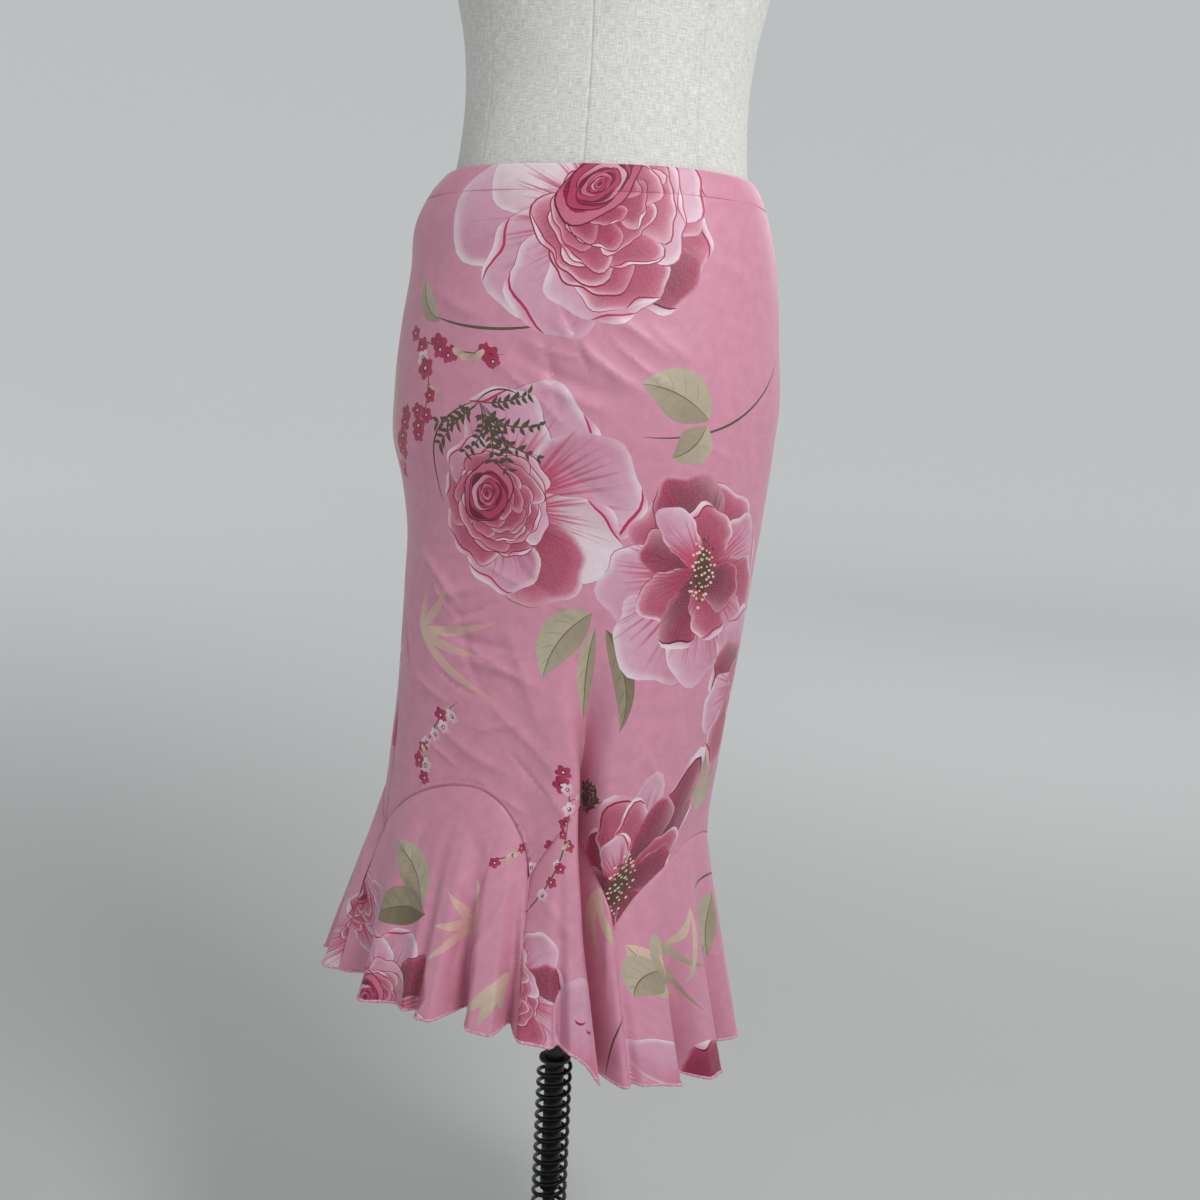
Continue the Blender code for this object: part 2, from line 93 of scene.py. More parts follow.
def hump(distance, half):
    # 1 in the middle, 0 from half away
    return np.where(np.abs(distance) < half, np.cos(np.pi / 2 * distance / half) ** 2, 0.0)


def curveThrough(table, column, at, key="height"):
    # smooth curve through a table's rows, read at any height or angle
    x, y = np.array(table[key], float), np.array(table[column], float)
    slope = np.gradient(y, x)
    at = np.clip(at, x[0], x[-1])
    i = np.clip(np.searchsorted(x, at) - 1, 0, len(x) - 2)
    step = x[i + 1] - x[i]
    u = (at - x[i]) / step
    rise = (2 * u**3 - 3 * u**2 + 1) * y[i] + (3 * u**2 - 2 * u**3) * y[i + 1]
    return rise + step * ((u**3 - 2 * u**2 + u) * slope[i] + (u**3 - u**2) * slope[i + 1])


def meshObject(name, points, faces, materials):
    mesh = bpy.data.meshes.new(name)
    mesh.from_pydata([tuple(p) for p in points], [], [tuple(int(i) for i in f) for f in faces])
    for finish in materials:
        mesh.materials.append(finish)
    mesh.shade_smooth()
    made = bpy.data.objects.new(name, mesh)
    bpy.context.scene.collection.objects.link(made)
    return made


def gridFaces(rows, count, closed=False):
    # four-sided faces between rows of points, where each row closes on itself
    faces = []
    for i in range(rows if closed else rows - 1):
        j = (i + 1) % rows
        for k in range(count):
            m = (k + 1) % count
            faces.append((i * count + k, i * count + m, j * count + m, j * count + k))
    return faces


def cornerPoints(mesh):
    order = np.zeros(len(mesh.loops), np.int32)
    mesh.loops.foreach_get("vertex_index", order)
    return order


def layUvs(mesh, label, values):
    layer = mesh.uv_layers.new(name=label)
    layer.uv.foreach_set("vector", values.astype(np.float32).ravel())


def settle(piece, body, slot, *nodes):
    # rides the piece on its body and says which solids it is shown for
    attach(piece, body)
    if nodes:
        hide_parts(*nodes)


# the camera, at the photo's place and angle: lens in mm, degrees, metres

view = dict(lens=39.0, sensor=36.0, near=0.02, down=6.0, turn=8.0, lean=2.7, across=0.015, back=1.09,
            height=0.81)


def photoCamera():
    turn, down, lean = (math.radians(view[k]) for k in ("turn", "down", "lean"))
    side = Vector((math.cos(turn), math.sin(turn), 0))
    ahead = Vector((-math.sin(turn), math.cos(turn), 0))
    up = Vector((0, 0, 1))
    right = side * math.cos(lean) + up * math.sin(lean)
    level = up * math.cos(lean) - side * math.sin(lean)
    forward = ahead * math.cos(down) - level * math.sin(down)
    top = ahead * math.sin(down) + level * math.cos(down)
    made = bpy.data.objects.new("photoCamera", bpy.data.cameras.new("photoCamera"))
    turned = Matrix((right, top, -forward)).transposed().to_4x4()
    turned.translation = side * view["across"] - ahead * view["back"] + up * view["height"]
    made.matrix_world = turned
    made.data.lens = view["lens"]
    made.data.sensor_width = view["sensor"]
    made.data.clip_start = view["near"]
    bpy.context.scene.collection.objects.link(made)
    bpy.context.scene.camera = made


photoCamera()
print("camera set")


# the skirt's form, in metres and degrees round the cloth from the front's middle

skirt = dict(
    waistFront=1.031, waistSide=1.041, roundness=2.12, seamTurn=20.0,
    meanRadius=0.14,
    hemHalfWidth=0.183, hemHalfDepth=0.168, hemCentreX=-0.0265, hemCentreY=0.002, hollowGrowth=0.75,
    gather=15.0, gatherCentre=3.0, gatherSpread=30.0, gatherLow=0.560, gatherHigh=0.720,
    firstSeam=-88.0,
)
# the tube over hips and knee; twist is how far the bias cut has turned the cloth round the form
tube = dict(
    height=[0.320, 0.450, 0.515, 0.600, 0.690, 0.755, 0.790, 0.825, 0.865, 0.915, 0.960, 1.000, 1.020, 1.042],
    halfWidth=[0.1450, 0.1425, 0.1400, 0.1405, 0.1445, 0.1480, 0.1525, 0.1590, 0.1600, 0.1565, 0.1510, 0.1450,
               0.1365, 0.1212],
    halfDepth=[0.1200, 0.1160, 0.1130, 0.1090, 0.1070, 0.1085, 0.1120, 0.1170, 0.1185, 0.1165, 0.1110, 0.1040,
               0.1000, 0.0962],
    centreX=[-0.0265, -0.0235, -0.0185, -0.0095, -0.0020, 0.0020, 0.0010, -0.0020, -0.0005, 0.0000, 0.0015,
             0.0000, 0.0020, 0.0055],
    centreY=[0.004, 0.004, 0.004, 0.004, 0.005, 0.006, 0.007, 0.008, 0.008, 0.008, 0.006, 0.003, 0.002,
             0.001],
    twist=[25.0, 24.0, 22.0, 17.0, 11.0, 6.0, 4.0, 2.0, 0.0, 0.0, 0.0, 0.0, 0.0, 0.0],
)
# the scalloped seam's six arches: first foot, its height, the arch's top, how far along that lies
arches = dict(
    start=[-88.0, -32.0, 28.0, 90.0, 150.0, 212.0, 272.0],
    foot=[0.500, 0.486, 0.451, 0.457, 0.470, 0.488, 0.500],
    top=[0.553, 0.543, 0.508, 0.518, 0.532, 0.549],
    topAt=[0.68, 0.50, 0.56, 0.50, 0.50, 0.50],
    rising=[0.78, 0.78, 1.10, 0.78, 0.78, 0.78],
    falling=[0.55, 0.78, 0.78, 0.78, 0.78, 0.78],
)
hem = dict(
    angle=[-88, -62, -46, -40, -20, 0, 15, 33, 51, 58, 66, 80, 110, 150, 190, 230, 260, 272],
    height=[0.382, 0.383, 0.386, 0.383, 0.373, 0.354, 0.342, 0.339, 0.324, 0.322, 0.333, 0.330, 0.327, 0.332,
            0.344, 0.360, 0.382, 0.382],
)
# hollows between the flounce's waves: angle, depth at the hem, half width
hollows = [
    (-97, 0.008, 11.0), (-80, 0.046, 13.5), (-62, 0.020, 9.0), (-55.2, 0.014, 3.0), (-46, 0.038, 4.2),
    (-34.4, 0.030, 3.4), (-20, 0.012, 4.0), (28.6, 0.008, 2.6), (46.5, 0.042, 5.0), (61, 0.042, 5.5),
    (76, 0.032, 7.5), (91, 0.042, 8.0), (106, 0.034, 7.5), (121, 0.044, 8.0), (136, 0.031, 7.5),
    (150, 0.040, 7.5), (167, 0.044, 8.5), (183, 0.033, 8.0), (198, 0.042, 8.0), (212, 0.036, 7.5),
    (228, 0.044, 8.5), (243, 0.033, 7.5), (257, 0.042, 7.5),
]
deepFold = dict(
    height=[0.320, 0.380, 0.460, 0.540, 0.600, 0.650, 0.700, 1.050],
    angle=[17.5, 16.5, 12.0, 7.0, 6.0, 6.0, 6.0, 6.0],
    depth=[0.046, 0.048, 0.046, 0.034, 0.018, 0.006, 0.000, 0.000],
    half=[7.5, 9.0, 14.0, 18.0, 20.0, 20.0, 20.0, 20.0],
)
# soft folds of the body: angle, upper and lower height, lean, depth (a ridge is negative), half width
softFolds = [
    (-24, 0.700, 0.440, 4, -0.0070, 14), (30, 0.680, 0.430, -6, -0.0075, 15),
    (-62, 0.640, 0.470, 2, 0.0045, 16), (62, 0.690, 0.440, -4, 0.0060, 14),
    (122, 0.720, 0.430, -5, 0.0070, 16), (152, 0.700, 0.430, -3, -0.0060, 14),
    (186, 0.740, 0.430, 4, 0.0085, 17), (222, 0.710, 0.440, 3, -0.0060, 15),
    (250, 0.700, 0.450, 2, 0.0055, 14),
]


def oval(where, halfWidth, halfDepth, power=skirt["roundness"]):
    # how far out a rounded oval's edge lies, at a turn from its front
    across = np.abs(np.sin(where) / halfWidth) ** power
    along = np.abs(np.cos(where) / halfDepth) ** power
    return (across + along) ** (-1 / power)


def roundTrip(angle):
    return (angle - skirt["firstSeam"]) % 360 + skirt["firstSeam"]


def seamHeight(angle):
    starts, feet = np.array(arches["start"]), np.array(arches["foot"])
    tops, topAt = np.array(arches["top"]), np.array(arches["topAt"])
    angle = roundTrip(angle)
    i = np.clip(np.searchsorted(starts, angle, side="right") - 1, 0, len(tops) - 1)
    u = (angle - starts[i]) / (starts[i + 1] - starts[i])
    foot = feet[i] + (feet[i + 1] - feet[i]) * u
    middle = feet[i] + (feet[i + 1] - feet[i]) * topAt[i]
    bent = np.where(u < topAt[i], 0.5 * u / topAt[i], 0.5 + 0.5 * (u - topAt[i]) / (1 - topAt[i]))
    full = np.where(u < topAt[i], np.array(arches["rising"])[i], np.array(arches["falling"])[i])
    return foot + (tops[i] - middle) * np.sin(np.pi * np.clip(bent, 0, 1)) ** full


def waistHeight(angle):
    front = 0.5 + 0.5 * np.cos(np.radians(angle))
    return skirt["waistSide"] + (skirt["waistFront"] - skirt["waistSide"]) * front


def hemHeight(angle):
    return curveThrough(hem, "height", roundTrip(angle), key="angle")


def turned(angle, height):
    # where a point of the cloth lies round the form: twisted, and gathered towards the deep fold
    q = (angle - skirt["gatherCentre"]) / skirt["gatherSpread"]
    gather = 1 - ramp(skirt["gatherLow"], skirt["gatherHigh"], height)
    shift = -skirt["gather"] * q * np.exp(0.5 - q * q / 2) * gather
    return np.radians(angle + curveThrough(tube, "twist", height) + shift)


def foldDepth(angle, height):
    depth = np.maximum(curveThrough(deepFold, "depth", height), 0)
    away = angle - curveThrough(deepFold, "angle", height)
    return depth * hump(away, curveThrough(deepFold, "half", height))


def bodyPoint(angle, height):
    where = turned(angle, height)
    out = oval(where, curveThrough(tube, "halfWidth", height), curveThrough(tube, "halfDepth", height))
    out = out - foldDepth(angle, height)
    for at, high, low, lean, depth, half in softFolds:
        along = np.clip((high - height) / (high - low), 0, 1)
        out = out - depth * ramp(0, 1, along) * hump(angle - at - lean * along, half)
    x = curveThrough(tube, "centreX", height) + out * np.sin(where)
    y = curveThrough(tube, "centreY", height) - out * np.cos(where)
    return np.stack([x, y, height + 0 * x], -1)


def flouncePoint(angle, height):
    top = seamHeight(angle)
    down = np.clip((top - height) / (top - hemHeight(angle)), 0, 1.1)
    start = bodyPoint(angle, top)
    where = turned(angle, height)
    out = oval(where, skirt["hemHalfWidth"], skirt["hemHalfDepth"]) - foldDepth(angle, height)
    for at, depth, half in hollows:
        away = (angle - at + 180) % 360 - 180
        out = out - depth * down ** skirt["hollowGrowth"] * hump(away, half)
    lowX = skirt["hemCentreX"] + out * np.sin(where)
    lowY = skirt["hemCentreY"] - out * np.cos(where)
    x = start[..., 0] + (lowX - start[..., 0]) * down
    y = start[..., 1] + (lowY - start[..., 1]) * down
    return np.stack([x, y, height + 0 * x], -1)


# how the cloth is measured and meshed; lengths are in mm, unless a note says otherwise
sewing = dict(
    netTurn=0.5, netDrop=0.003, netMargin=6.0,  # degrees, metres, degrees
    thick=0.8, frontSpacing=3.0, backSpacing=3.3, flounceSpacing=2.2, unevenGrid=0.22,
    reverseCoarser=1.6,  # the reverse has fewer points than the face, as a factor on their spacing
    edgeRows=[0.6, 1.3, 2.4, 4.2],  # rows of points beside the edge, for its groove and ridge
    edgeTurn=0.75, edgeDrop=2.5,  # steps along the outline, in degrees and in mm
    creaseGain=1.9, slopeStep=0.4, bakeMargin=3.0, rimBake=0.8,
)


def readGrid(grid, row, column):
    row = np.clip(row, 0, grid.shape[0] - 1.001)
    column = np.clip(column, 0, grid.shape[1] - 1.001)
    i, j = row.astype(int), column.astype(int)
    u, v = row - i, column - j
    upper = grid[i, j] * (1 - v) + grid[i, j + 1] * v
    lower = grid[i + 1, j] * (1 - v) + grid[i + 1, j + 1] * v
    return upper * (1 - u) + lower * u


def layFlat(surface, first, last, middle, low, high):
    # the flat cut: x runs along a level line of the cloth, y down from the piece's top, both in mm
    turnStep, drop, margin = sewing["netTurn"], sewing["netDrop"], sewing["netMargin"]
    angles = np.arange(first - margin, last + margin + turnStep, turnStep)
    heights = np.arange(high + drop, low - drop, -drop)
    grid = surface(*np.meshgrid(angles, heights))
    steps = np.linalg.norm(np.diff(grid, axis=1), axis=-1) * 1000
    run = np.concatenate([np.zeros((len(heights), 1)), np.cumsum(steps, axis=1)], axis=1)
    run -= np.array([np.interp(middle, angles, row) for row in run])[:, None]
    spots = np.arange(run.min(), run.max(), 1.0)
    back = np.array([np.interp(spots, row, angles) for row in run])

    def toFlat(angle, height):
        x = readGrid(run, (heights[0] - height) / drop, (angle - angles[0]) / turnStep)
        return np.stack([x, (high - height) * 1000], -1)

    def toCloth(x, y):
        height = high - y / 1000
        return readGrid(back, (heights[0] - height) / drop, x - spots[0]), height

    return dict(surface=surface, first=first, last=last, high=high, toFlat=toFlat, toCloth=toCloth)


# the print: every motif is a list of shapes, each an outline in mm with the dyes inside it
inks = dict(
    ground="#dc95ad", white="#f1dde6", mauve="#dea5be", pale="#e2a3bb", pink="#d3708f", rosy="#bb3f69",
    crimson="#a51a48", wine="#6e1533", flush="#c32a60", ruby="#ae3059",
    leafLight="#c3b69f", leafMid="#a3957d", leafDark="#75654c", olive="#5e5440", twig="#4a3f33",
    cream="#e2c0b0", faint="#dea5a2", sage="#aa9d84", stamen="#e2d8bd", stamenDark="#5b4c33",
)
inks = {name: linear(value) for name, value in inks.items()}


def mix(a, b, share):
    share = np.asarray(share)[..., None]
    return a * (1 - share) + b * share


def heading(degrees):
    turn = math.radians(degrees)
    return np.array([math.cos(turn), math.sin(turn)])


def roundTurns(count):
    return np.linspace(0, 2 * np.pi, count, endpoint=False)


def sideways(line):
    # at each point of a flat line, the unit vector square to it
    way = np.gradient(line, axis=0)
    way /= np.linalg.norm(way, axis=1, keepdims=True)
    return np.stack([-way[:, 1], way[:, 0]], -1)


def plainShape(outline, near, far=None, start=None, end=None):
    # one dye, or a wash from one to another between two points
    outline = np.array(outline, float)

    def paint(points):
        if far is None:
            dye = np.repeat(near[None], len(points), 0)
        else:
            way = np.array(end, float) - np.array(start, float)
            share = ((points - np.array(start)) @ way) / (way @ way)
            dye = mix(near, far, ramp(0, 1, share))
        none = np.zeros(len(points))
        return dye, dye, none, np.stack([none, none], -1)

    return dict(outlines=[outline], paint=paint)


def stroke(points, width, dye, tip=0.15):
    # a brush line, widest in its middle
    points = np.array(points, float)
    side = sideways(points)
    along = np.linspace(0, 1, len(points))
    half = (width / 2 * (tip + (1 - tip) * np.sin(np.pi * along) ** 0.6))[:, None]
    return plainShape(np.concatenate([points + side * half, (points - side * half)[::-1]]), dye)


def bend(start, end, bow, count=9):
    # a curved line between two points that bows out sideways by a share of its length
    start, end = np.array(start, float), np.array(end, float)
    way = end - start
    side = np.array([-way[1], way[0]])
    t = np.linspace(0, 1, count)[:, None]
    return start + way * t + side * bow * 4 * t * (1 - t)


# a petal's dyes from its root out; reach is how far the root's dye runs, depth how far it darkens inwards
looks = dict(
    outer=dict(root="flush", heart="pink", body="mauve", rim="white", line="rosy",
               reach=0.62, rimFrom=0.82, depth=0.10),
    snow=dict(root="flush", heart="pale", body="white", rim="white", line="rosy",
              reach=0.45, rimFrom=0.82, depth=0.0),
    middle=dict(root="crimson", heart="ruby", body="pink", rim="white", line="crimson",
                reach=0.66, rimFrom=0.86, depth=0.60),
    inner=dict(root="crimson", heart="crimson", body="pink", rim="pale", line="wine",
               reach=0.80, rimFrom=0.86, depth=0.85),
    deep=dict(root="wine", heart="crimson", body="ruby", rim="pale", line="wine",
              reach=0.60, rimFrom=0.88, depth=0.45),
)


def petal(root, aim, long, wide, look, rng, frill=0.05, bright=1.0, reach=None, curl=0.5, shade=0.0):
    # a frilled oval that starts at its root, in mm and degrees; broad makes its far end the wider one
    look, broad = looks[look], 0.22
    way, side = heading(aim), heading(aim + 90)
    root = np.array(root, float)
    centre = root + way * long / 2
    phases = [rng.uniform(0, 6.28) for _ in range(4)]
    theta = roundTurns(44)
    out = 1 / np.sqrt((np.cos(theta) / (long / 2)) ** 2 + (np.sin(theta) / (wide / 2)) ** 2)
    wave = 0.45 * np.sin(2 * theta + phases[0]) + 0.40 * np.sin(5 * theta + phases[1])
    wave = wave + 0.34 * np.sin(8 * theta + phases[2])
    out = out * (1 + frill * wave * (0.45 + 0.55 * np.cos(theta / 2) ** 2))
    local = np.stack([out * np.cos(theta), out * np.sin(theta) * (1 + broad * np.cos(theta))], -1)
    edgeTurn = np.arctan2(local[:, 1], local[:, 0])
    edgeOut = np.linalg.norm(local, axis=1)
    order = np.argsort(edgeTurn)
    edgeTurn, edgeOut = edgeTurn[order], edgeOut[order]
    seed, cool = rng.uniform(0, 50), rng.uniform(-0.10, 0.14)
    reachShare = look["reach"] if reach is None else reach

    def toFlat(spots):
        return centre + spots[:, :1] * way + spots[:, 1:] * side

    def paint(points):
        q = points - centre
        a, b = q @ way, q @ side
        turn = np.arctan2(b, a)
        edge = np.hypot(a, b) / np.interp(turn, edgeTurn, edgeOut, period=2 * np.pi)
        fromRoot = points - root
        down = np.linalg.norm(fromRoot, axis=1) / long
        spread = np.arctan2(fromRoot @ side, fromRoot @ way)
        dye = mix(inks[look["heart"]], inks[look["body"]], ramp(0.10, 0.62, down))
        dye = mix(dye, inks["white"], (0.20 + cool) * ramp(-0.2, 0.9, b / wide * 2) * ramp(0.2, 0.8, down))
        dye = mix(dye, inks["rosy"], 0.34 * ramp(0.0, 1.0, -b / wide * 2))
        dye = mix(dye, inks[look["root"]], look["depth"] * (1 - ramp(0.58, 0.94, edge)))
        lit = bright * (0.62 + 0.38 * np.sin(2 * turn + phases[3]))
        dye = mix(dye, inks[look["rim"]], lit * ramp(look["rimFrom"], 1.0, edge) * ramp(0.15, 0.4, down))
        rootDye, share = np.repeat(inks[look["root"]][None], len(points), 0), np.full(len(points), reachShare)
        return dye, rootDye, share, np.stack([spread + seed, down], -1)

    shapes = []
    if shade:
        # the shadow that it throws on the petals under it
        under = toFlat(local * (1 + shade)) + way * long * shade * 0.6
        shapes.append(plainShape(under, inks[look["root"]], inks[look["line"]], root, root + way * long))
    shapes.append(dict(outlines=[toFlat(local), toFlat(local * look["rimFrom"])], paint=paint))
    first = rng.choice([1, 3, 31, 33])
    part = np.take(toFlat(local * 1.005), range(first, first + 10), axis=0, mode="wrap")
    line = mix(inks[look["line"]], inks[look["body"]], 0.35)
    shapes.append(stroke(part, min(0.9, 0.012 * long + 0.2), line))
    if rng.random() < curl:
        # a stretch of rim that is folded over: a pale sickle with a dark line under it
        first, count = rng.choice([34, 38, 42, 1]), rng.choice([7, 9, 11])
        rimPart = np.take(local * 1.01, range(first, first + count), axis=0, mode="wrap")
        swell = np.sin(np.pi * np.linspace(0, 1, count))[:, None] * rng.uniform(0.13, 0.22)
        inside = rimPart * (1 - swell)
        shapes.append(stroke(toFlat(inside * 0.985), 0.03 * long + 0.6, inks[look["root"]]))
        sickle = toFlat(np.concatenate([rimPart, inside[::-1]]))
        near, far = sickle[count // 2], sickle[-count // 2]
        shapes.append(plainShape(sickle, inks["white"], inks["pale"], near, far))
    return shapes


def heartCups(at, size, turn, tilt, rng):
    # cups in cups, each off the last one's middle, so that its lip shows as a sickle on one side
    axis, side = heading(turn), heading(turn + 90)
    place, drift, shapes = np.array(at, float), rng.uniform(0, 360), []
    theta = roundTurns(30)
    lips = ["pink", "rosy", "pale", "rosy", "pink"]
    level = 0
    while size > 2.4:
        drift += rng.uniform(100, 160)
        wobble = 1 + 0.08 * np.sin(2 * theta + rng.uniform(0, 6))
        wobble = wobble + 0.05 * np.sin(5 * theta + rng.uniform(0, 6))
        ring = np.cos(theta)[:, None] * axis + tilt * np.sin(theta)[:, None] * side
        lip = place + (size * wobble)[:, None] * ring
        lipWay = heading(drift)
        near, far = place + lipWay * size * 0.9, place - lipWay * size
        shapes.append(plainShape(place + (lip - place) * 1.05, inks["wine"]))
        shapes.append(plainShape(lip, inks[lips[level % 5]], inks["rosy"], near, far))
        inside = place - lipWay * size * 0.13 + (lip - place) * 0.84
        shapes.append(plainShape(inside, inks["crimson"], inks["wine"], near, far))
        place = place - lipWay * size * 0.10
        size *= 0.78
        level += 1
    return shapes


def rose(at, size, seed, turn=90.0, tilt=0.72, drop=0.30, skirts=()):
    # at is the heart; the bloom's middle lies off it by drop along turn; skirts are the large outer petals
    rng = random.Random(seed)
    heart = np.array(at, float)
    down, across = heading(turn), heading(turn - 90)
    middle = heart + down * drop * size
    shapes, count = [], 20
    for aim, start, long, wide, look in skirts:
        root = middle + heading(aim) * start
        shapes += petal(root, aim, long, wide, look, rng, frill=0.11, curl=0.8, reach=0.85)
    for k in range(count):
        share = 1 - 0.58 * k / count
        a = math.radians(137.5 * k + rng.uniform(-14, 14))
        way = across * math.cos(a) + down * tilt * math.sin(a)
        stretch = float(np.linalg.norm(way))
        aim = math.degrees(math.atan2(way[1], way[0])) + rng.uniform(-14, 14)
        centre = heart + (middle - heart) * share
        reachOut = size * share * stretch
        look = "outer" if share > 0.84 and k % 3 == 0 else "middle" if share > 0.62 else "inner"
        root = centre + way / stretch * reachOut * 0.26
        long, wide = reachOut * rng.uniform(0.64, 0.80), size * share * rng.uniform(1.0, 1.45)
        shapes += petal(root, aim, long, wide, look, rng, frill=0.13, bright=0.78 + 0.22 * math.sin(a),
                        reach=0.9 if share < 0.9 else 0.75, shade=0.03)
    return shapes + heartCups(heart, size * 0.50, turn - 90, tilt, rng)


def stamens(at, size, turn, seed, tilt):
    rng = random.Random(seed)
    at = np.array(at, float)
    axis, side = heading(turn), heading(turn + 90)
    shapes = []
    theta = roundTurns(20)
    disc = at + size * 0.62 * (np.cos(theta)[:, None] * axis + tilt * np.sin(theta)[:, None] * side)
    shapes.append(plainShape(disc, inks["stamenDark"], inks["wine"], at - axis * size, at + axis * size))
    for k in range(60):
        a = 2.399 * k
        out = size * math.sqrt((k + 0.5) / 60) * rng.uniform(0.9, 1.1)
        tip = at + axis * out * math.cos(a) + side * tilt * out * math.sin(a)
        if k % 2:
            shapes.append(stroke(bend(at + (tip - at) * 0.35, tip, 0.08, 4), 0.6, inks["stamenDark"]))
        r, small = rng.uniform(0.9, 1.6), roundTurns(7)
        dot = tip + r * np.stack([np.cos(small), 0.8 * np.sin(small)], -1)
        shapes.append(plainShape(dot, inks["stamen" if rng.random() < 0.72 else "stamenDark"]))
    return shapes


def openFlower(at, size, seed, turn=90.0, rows=(), eye=0.26, eyeTilt=0.5):
    # an open flower seen from its side; rows give its petals: aim, start, length, width, look
    rng = random.Random(seed)
    at = np.array(at, float)
    shapes = []
    if not rows:
        for layer, (share, long, wide) in enumerate(((0.16, 0.86, 0.66), (0.10, 0.66, 0.50))):
            for k in range(8 - layer):
                a = math.radians(360 * k / (8 - layer) + rng.uniform(-10, 10) + 20 * layer)
                way = heading(turn) * math.cos(a) + heading(turn + 90) * 0.75 * math.sin(a)
                aim = math.degrees(math.atan2(way[1], way[0]))
                stretch = float(np.linalg.norm(way))
                kind = "middle" if (k + layer) % 3 else "deep"
                shapes += petal(at + way * share * size, aim, long * size * stretch * rng.uniform(0.88, 1.12),
                                wide * size * rng.uniform(0.85, 1.15), kind, rng, frill=0.10)
    for aim, start, long, wide, look in rows:
        shapes += petal(at + heading(aim) * start, aim, long, wide, look, rng, frill=0.15, reach=0.9)
    return shapes + stamens(at, size * eye, turn, seed + 1, eyeTilt)


def leaf(root, aim, long, wide, rng, tones=("leafLight", "leafMid"), bow=0.12, vein="leafDark"):
    root = np.array(root, float)
    rib = bend(root, root + heading(aim) * long, bow, 13)
    side = sideways(rib)
    t = np.linspace(0, 1, 13)
    swell = (np.sin(np.pi * t ** 0.85) ** 0.85 * wide / 2)[:, None]
    left = rib + side * swell * rng.uniform(0.9, 1.1)
    right = rib - side * swell * rng.uniform(0.8, 1.0)
    tip, light, dark = rib[-1], inks[tones[0]], inks[tones[1]]
    shapes = [
        plainShape(np.concatenate([rib, left[::-1][1:-1]]), mix(light, dark, 0.25), light, root, tip),
        plainShape(np.concatenate([rib, right[::-1][1:-1]]), dark, mix(light, dark, 0.55), root, tip),
        stroke(rib, 0.9, inks[vein]),
    ]
    for k in (3, 5, 7, 9):
        for bank in (left, right):
            sideVein = bend(rib[k], rib[k] + (bank[k + 2] - rib[k]) * 0.8, 0.06, 5)
            shapes.append(stroke(sideVein, 0.45, dark * 0.85))
    return shapes


def blade(root, aim, long, wide, dye, bow=0.1, far=None):
    # one slender bamboo leaf
    root = np.array(root, float)
    rib = bend(root, root + heading(aim) * long, bow, 12)
    side = sideways(rib)
    t = np.linspace(0, 1, 12)
    swell = (np.sin(np.pi * t ** 0.7) * wide / 2)[:, None]
    near = inks[dye]
    return plainShape(np.concatenate([rib + side * swell, (rib - side * swell)[::-1][1:-1]]),
                      near, inks[far] if far else near * 1.12, root, rib[-1])


def bambooSpray(at, aim, size, seed, dye="cream", far="faint", count=5):
    rng = random.Random(seed)
    shapes = []
    for k in range(count):
        turn = aim + (k - (count - 1) / 2) * 34 + rng.uniform(-8, 8)
        long, bow = size * rng.uniform(0.6, 1.0), rng.uniform(-0.12, 0.12)
        shapes.append(blade(at, turn, long, size * 0.13, dye, bow, far))
    return shapes


def blossom(at, size, rng, dye="crimson", eye="wine"):
    at = np.array(at, float)
    start = rng.uniform(0, 6)
    theta = roundTurns(25)
    squash = rng.uniform(0.7, 1.0)
    out = size * (0.66 + 0.34 * np.abs(np.cos(2.5 * theta + start)))
    ring = np.stack([out * np.cos(theta), squash * out * np.sin(theta)], -1)
    tilt = rng.uniform(0, 180)
    ring = at + ring[:, :1] * heading(tilt) + ring[:, 1:] * heading(tilt + 90)
    shapes = [plainShape(ring, inks[dye], inks["rosy" if dye == "crimson" else "pale"], at - size, at + size)]
    small = at + (ring - at) * 0.34
    shapes.append(plainShape(small, inks[eye]))
    shapes.append(plainShape(at + (ring - at) * 0.17 + rng.uniform(-0.5, 0.5), inks["stamen"]))
    return shapes


def blossomSpray(path, seed, size=6.0, count=14, spread=13.0, white=0.25):
    # small blossoms and buds scattered along a curved stem
    rng = random.Random(seed)
    path = np.array(path, float)
    shapes = [stroke(path, 1.3, inks["olive"])]
    for k in range(count):
        t = (k + rng.random()) / count * (len(path) - 1.01)
        i = int(t)
        spine = path[i] + (path[i + 1] - path[i]) * (t - i)
        spot = spine + np.array([rng.uniform(-spread, spread), rng.uniform(-spread, spread) * 0.7])
        shapes.append(stroke(bend(spine, spot, rng.uniform(-0.2, 0.2), 5), 0.7, inks["olive"]))
        kind = rng.random()
        if kind < white:
            shapes += blossom(spot, size * rng.uniform(0.7, 1.0), rng, "white", "olive")
        elif kind < 0.8:
            shapes += blossom(spot, size * rng.uniform(0.7, 1.1), rng)
        else:
            shapes.append(blade(spot, rng.uniform(0, 360), size * 1.6, size * 0.6, "cream", 0.1, "sage"))
    return shapes


def leafyTwigs(at, size, seed, aim=60.0, count=6):
    # dark arching twigs set with tiny leaves
    rng = random.Random(seed)
    shapes = []
    for k in range(count):
        turn = aim + (k - count / 2) * 24 + rng.uniform(-8, 8)
        start = np.array(at, float)
        line = bend(start, start + heading(turn) * size * rng.uniform(0.6, 1.0), rng.uniform(-0.25, 0.25), 9)
        shapes.append(stroke(line, 1.2, inks["twig"]))
        for i in range(2, 9):
            for way in (-1, 1):
                aimed = turn + way * rng.uniform(35, 75)
                long, wide = rng.uniform(5, 10), rng.uniform(2.4, 3.8)
                shapes.append(blade(line[i], aimed, long, wide, "olive", 0.1, "twig"))
    return shapes


